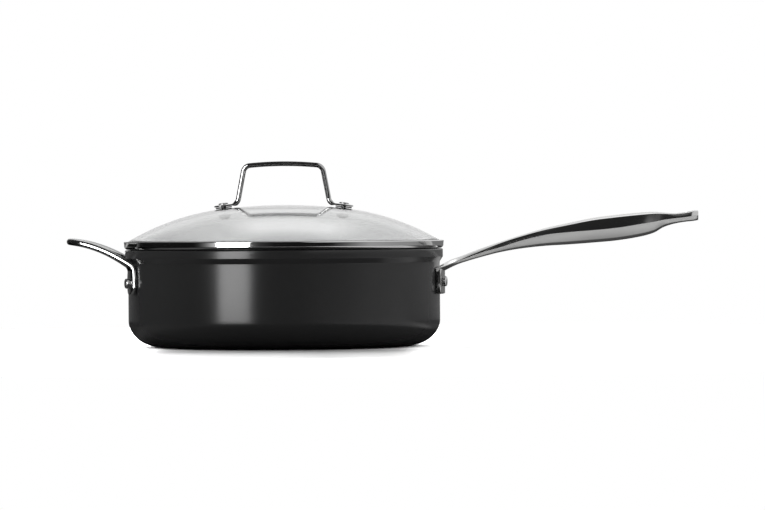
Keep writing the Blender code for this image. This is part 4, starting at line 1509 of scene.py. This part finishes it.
@dataclass
class LidHandle:
    """The bent strap handle on the lid, and the rivets, pads and washers that hold it."""

    lid: GlassLid
    rise: float = 0.0374
    half_span: float = 0.0334
    crown_radius: float = 0.3000
    crown_angle: float = math.radians(5.4)
    corner_radius: float = 0.0065
    width: float = 0.0200
    strap: float = 0.0042
    strap_round: float = 0.0019
    leg_base: float = 0.0396
    bend_radius: float = 0.0055
    leg_width: float = 0.0124
    foot_width: float = 0.0150
    foot_thickness: float = 0.0017
    foot_overhang: float = 0.0082
    spread: float = 0.0514
    rivet: RivetForm = RivetForm(
        shank=0.0020, head=0.0041, head_height=0.0014, head_round=0.0009, dome_share=0.50,
        dome_fall=0.0001, tail=0.0036, tail_height=0.0013, tail_share=0.85,
        tail_round=0.0006, rim_round=0.0002)
    rivet_steps: int = 48
    # The black pad under each foot reaches almost to the foot's rim, so that its black also
    # stands for the shade between foot and glass.
    foot_pad_and_shade: float = 0.0070
    lower_pad: float = 0.0052
    pad_thickness: float = 0.0010
    washer: float = 0.0050
    washer_thickness: float = 0.0008
    ring_edge: float = 0.00018
    ring_steps: int = 64
    folds: int = 150

    @property
    def foot_level(self) -> float:
        """Height of the foot's underside above the glass."""
        return 2.0 * GAP + self.pad_thickness

    def track(self) -> Track:
        """Side view path of the strap's middle, from foot end to foot end."""
        lean = self.lid.glass_lean(self.spread)
        lift = self.foot_level + self.foot_thickness / 2.0
        rivet = Vector((self.spread + lift * math.sin(lean),
                        self.lid.level(self.spread) + lift * math.cos(lean)))
        down = Vector((math.cos(lean), -math.sin(lean)))
        tip = rivet + down * self.foot_overhang
        base = rivet + down * ((self.leg_base - rivet.x) / down.x)
        middle = self.lid.crown_level + self.rise - self.strap / 2.0
        peak = middle + self.crown_radius * (1.0 / math.cos(self.crown_angle) - 1.0)
        corner = (self.half_span, peak - self.half_span * math.tan(self.crown_angle))
        right = [corner, tuple(base), tuple(tip)]
        left = [(-x, z) for x, z in reversed(right)]
        radii = (self.bend_radius, self.corner_radius, self.crown_radius,
                 self.corner_radius, self.bend_radius)
        return Track(left + [(0.0, peak)] + right, radii, 16)

    def half_width(self, to_end: float, half_length: float) -> float:
        """Half width of the flat strap at a distance from its end."""
        foot = self.foot_width / 2.0
        if to_end < foot:
            return math.sqrt(max(foot ** 2 - (foot - to_end) ** 2, 0.0))
        places = [0.0, foot, 2.2 * foot, 3.2 * foot, half_length - 0.9 * self.half_span,
                  half_length]
        widths = [foot, foot, 0.92 * foot, self.leg_width / 2.0, self.width * 0.47,
                  self.width / 2.0]
        return smooth_value(places, widths, to_end)

    def strap_shape(self) -> bmesh.types.BMesh:
        """The strap, flat at first, then bent and thinned at its feet."""
        track = self.track()
        half_length = track.length / 2.0
        foot = self.foot_width / 2.0
        ends = [foot * (1.0 - math.cos(math.radians(angle))) for angle in range(10, 91, 10)]
        inner = [track.length * step / self.folds for step in range(self.folds + 1)]
        inner = [place - half_length for place in inner
                 if ends[-1] < place < track.length - ends[-1]]
        edge = [inset - half_length for inset in ends] + inner
        edge += [half_length - inset for inset in reversed(ends)]
        upper = [(place, self.half_width(half_length - abs(place), half_length))
                 for place in edge]
        outline = [(-half_length, 0.0)] + [(place, -width) for place, width in upper]
        outline += [(half_length, 0.0)] + upper[::-1]
        shape = blank(outline, self.strap, self.strap_round, inner, 5)
        thin_to = self.foot_overhang + self.foot_pad_and_shade + 2.0 * GAP
        thin_from = thin_to + 0.45 * foot

        def bend(along: float, across: float, lift: float) -> Sequence[float]:
            """Set one corner of the flat strap in place."""
            to_end = half_length - abs(along)
            swell = ease((to_end - thin_to) / (thin_from - thin_to))
            thick = self.foot_thickness + (self.strap - self.foot_thickness) * swell
            point, normal = track.at(along + half_length)
            shift = lift * thick / self.strap
            return (point.x + normal.x * shift, across, point.y + normal.y * shift)

        return bent(shape, bend)

    def build(self, rivet_steel: bpy.types.Material) -> None:
        """Make the strap and both stacks.

        Args:
            rivet_steel: Material of the rivets and washers.
        """
        places = [self.lid.stack_place(self.spread, side) for side in (-1.0, 1.0)]
        bores = drills(self.rivet.shank + GAP, self.lid.bore_length, places)
        strap = combined(self.strap_shape(), bores, "DIFFERENCE")
        # The strap's steel is darker than the band's: its darker colour is painted shade.
        finish = Steel("strap_steel_painted_shade", Grain.LENGTHWISE, dark=grey(0.38), light=grey(0.46),
                       roughness=0.055, spread=0.04, depth=0.000002, lines=1700.0)
        Piece("strap_grip", Body.LID, ("lid_handle",), Slot.BAND_STEEL, 34.0).make(
            strap, [finish.material()])
        black = Silicone("black_silicone_pad", grey(0.006), grey(0.013), 0.0, 0.60,
                         0.15).material()
        milky = Silicone("milky_silicone_pad", (0.52, 0.52, 0.50), (0.64, 0.64, 0.62),
                         0.35).material()
        for name, place in zip(("left", "right"), places):
            self.stack(name, place, rivet_steel, black, milky)

    def flat_ring(self, outer: float, bottom: float, thickness: float,
                  place: Matrix) -> bmesh.types.BMesh:
        """A flat ring with eased edges round a lid rivet."""
        bore = self.rivet.shank + GAP
        edge = self.ring_edge
        return spun(rounded([
            (bore, bottom, edge), (bore, bottom + thickness, edge),
            (outer, bottom + thickness, edge), (outer, bottom, edge),
        ], closed=True, steps=3), True, self.ring_steps, place)

    def stack(self, name: str, place: Matrix, steel: bpy.types.Material,
              black: bpy.types.Material, milky: bpy.types.Material) -> None:
        """Make the rivet, pads and washer of one foot.

        Args:
            name: Left or right.
            place: Place square to the glass.
            steel: Material of the rivet and the washer.
            black: Material of the pad under the foot.
            milky: Material of the pad under the glass.
        """
        under = -self.lid.thickness - GAP - self.pad_thickness
        washer = under - GAP - self.washer_thickness
        seat = self.foot_level + self.foot_thickness + GAP
        pads = (
            (Piece(f"foot_pad_and_shade_{name}", Body.LID, (f"foot_gasket_{name}",),
                   Slot.BLACK_SILICONE), self.foot_pad_and_shade, GAP, self.pad_thickness, black),
            (Piece(f"lower_pad_{name}", Body.LID, (f"under_gasket_{name}",),
                   Slot.CLEAR_SILICONE), self.lower_pad, under, self.pad_thickness, milky),
            (Piece(f"lower_washer_{name}", Body.LID, (f"under_washer_{name}",),
                   Slot.RIVET_STEEL), self.washer, washer, self.washer_thickness, steel),
        )
        for piece, radius, bottom, thickness, material in pads:
            piece.make(self.flat_ring(radius, bottom, thickness, place), [material])
        rivet = spun(self.rivet.outline(seat, washer - GAP), False, self.rivet_steps, place)
        Piece(f"strap_rivet_{name}", Body.LID, (f"lid_rivet_{name}",),
              Slot.RIVET_STEEL).make(rivet, [steel])


# The studio

# What shines round the horizon, by degrees of turn from the camera's side
PANELS = (
    (-180.0, 0.14), (-146.0, 0.09), (-138.0, 0.03), (-130.0, 0.006), (-66.0, 0.008),
    (-62.0, 0.04), (-58.0, 0.14), (-54.0, 0.35), (-48.0, 0.80), (-25.0, 0.12),
    (-16.0, 0.035), (-5.0, 0.010), (30.0, 0.008), (36.0, 0.02), (46.0, 0.12),
    (66.0, 0.44), (100.0, 0.36), (135.0, 0.24), (150.0, 0.22), (180.0, 0.16),
)
# What shines overhead, by degrees from the camera's horizon over the top to the far one
NEAR_SKY = ((0.0, 0.02), (44.0, 0.03), (51.0, 0.20), (57.0, 0.20), (63.0, 0.012))
FAR_SKY = ((158.0, 1.00), (165.0, 0.72), (170.0, 0.78), (175.0, 0.95), (180.0, 0.90))
SKY = (*NEAR_SKY, (110.0, 0.02), (118.0, 0.50), (124.0, 0.95), *FAR_SKY)
# The same in the middle, where a bright panel hangs behind and above
GLARE = (
    *NEAR_SKY, (118.0, 0.02), (121.0, 0.08), (125.0, 1.15), (129.0, 2.20), (132.0, 2.65),
    (138.0, 2.40), (146.0, 1.45), (152.0, 1.00), *FAR_SKY,
)
# Light on matt surfaces, by the same angles
LIGHT = ((0.0, 0.10), (100.0, 0.12), (118.0, 1.0), (160.0, 1.0), (180.0, 0.4))
# Painted shade and light on the table as metal mirrors it, by shares of its width: going back,
# and to the right
PAINTED_REFLECTION_BACK = ((0.52, 0.12), (0.60, 0.05), (1.0, 0.02))
PAINTED_REFLECTION_ACROSS = (
    (0.330, 0.02), (0.350, 0.17), (0.410, 0.17), (0.423, 0.03), (0.602, 0.03), (0.612, 1.0),
)
# Painted shadow and painted light that reshape the pan's real shadow on the table as the camera
# sees it: a gain to the right of the axis
PAINTED_SHADOW_ACROSS = (
    (-0.180, 2.5), (-0.118, 5.0), (-0.107, 4.0), (-0.098, 1.9), (-0.085, 1.45),
    (-0.060, 1.25), (-0.030, 1.15), (0.0, 1.08), (0.035, 0.90), (0.060, 0.98),
    (0.080, 1.0), (0.098, 1.25), (0.107, 2.2), (0.118, 3.2), (0.180, 2.2),
)
# The same painted shadow and light, by distance from the axis
PAINTED_SHADOW_FADE = (
    (0.110, 1.05), (0.150, 0.72), (0.170, 0.60), (0.240, 0.77), (0.320, 0.92),
    (0.350, 1.10), (0.400, 1.50),
)


def facing(spot: Vector, target: Sequence[float]) -> Quaternion:
    """The turn that points a lamp or a camera from a spot at a target."""
    return (Vector(target) - spot).to_track_quat("-Z", "Y")


@dataclass
class Studio:
    """Pale floor, soft light and the photograph's camera."""

    picture_width: int = 765
    metres_per_pixel: float = 0.0008593
    sensor_width: float = 36.0
    aim: tuple[float, float, float] = (0.0846, 0.0, 0.0778)
    camera_distance: float = 4.0
    camera_height: float = 0.113
    roll: float = 0.0066
    floor_radius: float = 0.75
    floor_drop: float = 0.0001
    floor_white: float = 0.35
    floor_mottle: float = 0.01
    painted_reflection_level: float = 0.74
    painted_reflection_near_camera: float = 0.60
    painted_shadow_fan: Point = (1.1, 0.7)
    light_level: float = 2.6
    glare_centre: float = 0.01
    glare_edge: Point = (11.0, 1.0)
    side_edge: Point = (6.0, 1.2)
    side_slope: float = 40.0
    side_shades: Point = (0.02, 0.90)
    sky_edge: Point = (12.0, 0.4)
    backdrop_edge: float = 0.995
    lamp_power: float = 40.0
    lamp_size: Point = (0.85, 1.50)
    lamp_angle: float = math.radians(-34.7)
    lamp_distance: float = 2.0
    lamp_height: float = 0.45
    lamp_target: tuple[float, float, float] = (0.0, 0.0, 0.06)

    def world(self) -> None:
        """Even light for the surfaces, white behind, and panels that shine in the metal."""
        world = bpy.data.worlds.new("studio_world")
        bpy.context.scene.world = world
        sheet = NodeSheet(world)
        direction = sheet.add("ShaderNodeTexCoord", {}, {}, "Generated")
        across, ahead, up = (sheet.axis(direction, axis) for axis in range(3))
        front = ahead * -1.0
        round_about = across.bearing(front) / FULL_TURN + 0.5
        overhead = up.at_least(0.0).bearing(front) / math.pi
        panels = sheet.ramp(round_about, PANELS, FULL_TURN_DEGREES, 0.5)
        sky = sheet.ramp(overhead, SKY, HALF_TURN_DEGREES)
        glare = sheet.ramp(overhead, GLARE, HALF_TURN_DEGREES)
        off_centre = (across - self.glare_centre).size()
        sky = sheet.mix(off_centre.rising(*self.glare_edge), glare, sky)
        darkest, brightest = self.side_shades
        side = (across * self.side_slope).at_least(darkest).at_most(brightest)
        sky = sheet.mix(across.size().rising(*self.side_edge), sky, side)
        shown = sheet.mix(up.rising(*self.sky_edge), panels, sky)
        backdrop = ahead.maths("GREATER_THAN", ahead, self.backdrop_edge)
        shown = sheet.mix(backdrop, shown, WHITE)
        soft = sheet.ramp(overhead, LIGHT, HALF_TURN_DEGREES)
        lit = sheet.choice(sheet.is_ray("Glossy"), sheet.background(soft, self.light_level),
                           sheet.background(shown))
        direct = (sheet.is_ray("Camera") + sheet.is_ray("Transmission")).at_most(1.0)
        sheet.add_output("ShaderNodeOutputWorld",
                         sheet.choice(direct, lit, sheet.background(WHITE)))

    def floor(self) -> None:
        """A round pale table top that keeps the pan's real shadow, with painted shadow and
        painted light for the camera and in what metal mirrors of it.
        """
        shape = bmesh.new()
        spot = Matrix.Translation((self.aim[0], 0.0, -self.floor_drop))
        bmesh.ops.create_circle(shape, cap_ends=True, segments=128,
                                radius=self.floor_radius, matrix=spot)
        made = as_object("table_top", shape)
        material = bpy.data.materials.new("pale_table")
        sheet = NodeSheet(material)
        plain = sheet.mix(sheet.noise(sheet.place(), 6.0),
                          grey(self.floor_white - self.floor_mottle),
                          grey(self.floor_white + self.floor_mottle))
        along, away = (sheet.axis(sheet.place(), axis) for axis in range(2))
        span = 2.0 * self.floor_radius
        depth = away / span + 0.5
        # Metal mirrors a table of painted shade and light: dark behind and in the pan's shadow
        # near the middle, brighter to the right and far in front.
        painted_reflection = (sheet.ramp(depth, ((0.49, self.painted_reflection_level), *PAINTED_REFLECTION_BACK))
                    * sheet.ramp(along / span + 0.5, PAINTED_REFLECTION_ACROSS))
        near = sheet.ramp(depth, ((0.13, self.painted_reflection_near_camera), (0.17, 0.0)))
        across = (along * along + away * away).root()
        # The camera sees the real shadow times a painted gain: painted shadow in front close to
        # the pan, painted light at its sides and further out.
        widest, narrowing = self.painted_shadow_fan
        sideways = along * (widest - across * narrowing)
        shade = sheet.ramp(sideways / span + 0.5, PAINTED_SHADOW_ACROSS, span, 0.5)
        painted_shadow_gain = sheet.ramp(across / span, PAINTED_SHADOW_FADE, span) * shade
        colour = sheet.mix(sheet.is_ray("Glossy"), plain, painted_reflection.at_least(near))
        colour = sheet.mix(sheet.is_ray("Camera"), colour, painted_shadow_gain)
        from_below = sheet.add("ShaderNodeNewGeometry", {}, {}, "Backfacing")
        table = sheet.choice(from_below,
                             sheet.add("ShaderNodeBsdfDiffuse", {}, {"Color": colour}),
                             sheet.add("ShaderNodeBsdfTransparent", {}, {}))
        sheet.add_output("ShaderNodeOutputMaterial", table)
        made.data.materials.append(material)

    def lamp(self, spared: bpy.types.Object) -> None:
        """One soft rectangular lamp that only shines back from glossy surfaces.

        Args:
            spared: The piece that it leaves out.
        """
        light = bpy.data.lights.new("side_softbox", "AREA")
        light.shape = "RECTANGLE"
        light.size, light.size_y = self.lamp_size
        light.energy = self.lamp_power
        made = bpy.data.objects.new("side_softbox", light)
        spot = Vector((self.lamp_distance * math.sin(self.lamp_angle),
                       -self.lamp_distance * math.cos(self.lamp_angle), self.lamp_height))
        made.location = spot
        made.rotation_euler = facing(spot, self.lamp_target).to_euler()
        made.visible_camera = False
        made.visible_transmission = False
        made.visible_diffuse = False
        bpy.context.scene.collection.objects.link(made)
        left_out = bpy.data.collections.new("spared_by_lamp")
        left_out.objects.link(spared)
        made.light_linking.receiver_collection = left_out
        left_out.collection_objects[0].light_linking.link_state = "EXCLUDE"

    def camera(self) -> None:
        """The photograph's camera, far off and close to level with the rim."""
        data = bpy.data.cameras.new("photo_camera")
        data.sensor_width = self.sensor_width
        data.lens = (self.sensor_width * self.camera_distance
                     / (self.picture_width * self.metres_per_pixel))
        made = bpy.data.objects.new("photo_camera", data)
        spot = Vector((self.aim[0], -self.camera_distance, self.camera_height))
        made.matrix_world = (Matrix.Translation(spot)
                             @ facing(spot, self.aim).to_matrix().to_4x4()
                             @ Matrix.Rotation(-self.roll, 4, "Z"))
        bpy.context.scene.collection.objects.link(made)
        bpy.context.scene.camera = made

    def build(self, dome: bpy.types.Object) -> None:
        """Set the whole studio.

        Args:
            dome: The glass, which the lamp leaves out.
        """
        bpy.context.scene.view_settings.view_transform = "Standard"
        self.world()
        self.floor()
        self.lamp(dome)
        self.camera()
        LOG.info("studio set")


def main() -> None:
    """Build the pan, its handles, the lid and the studio in order."""
    logging.basicConfig(level=logging.INFO, format="%(name)s %(message)s")
    pan = Pan()
    long_handle = LongHandle(pan)
    helper_handle = HelperHandle(pan)
    pan.build({**long_handle.rivets, **helper_handle.rivets})
    rivet_steel = Steel("rivet_head_steel", dark=grey(0.62), light=grey(0.72),
                        roughness=0.22, spread=0.10, depth=0.000008, lines=2200.0).material()
    long_handle.build(rivet_steel)
    helper_handle.build(rivet_steel)
    lid = GlassLid(pan)
    lid_handle = LidHandle(lid)
    dome = lid.build(lid_handle.spread)
    # The lid's rivets and washers get steel darker than the wall rivets': its darker colour is
    # painted shade.
    lid_handle.build(Steel("lid_rivet_steel_painted_shade", dark=grey(0.36), light=grey(0.44),
                           roughness=0.28, spread=0.10, depth=0.000008,
                           lines=2200.0).material())
    Studio().build(dome)


if __name__ == "__main__":
    main()
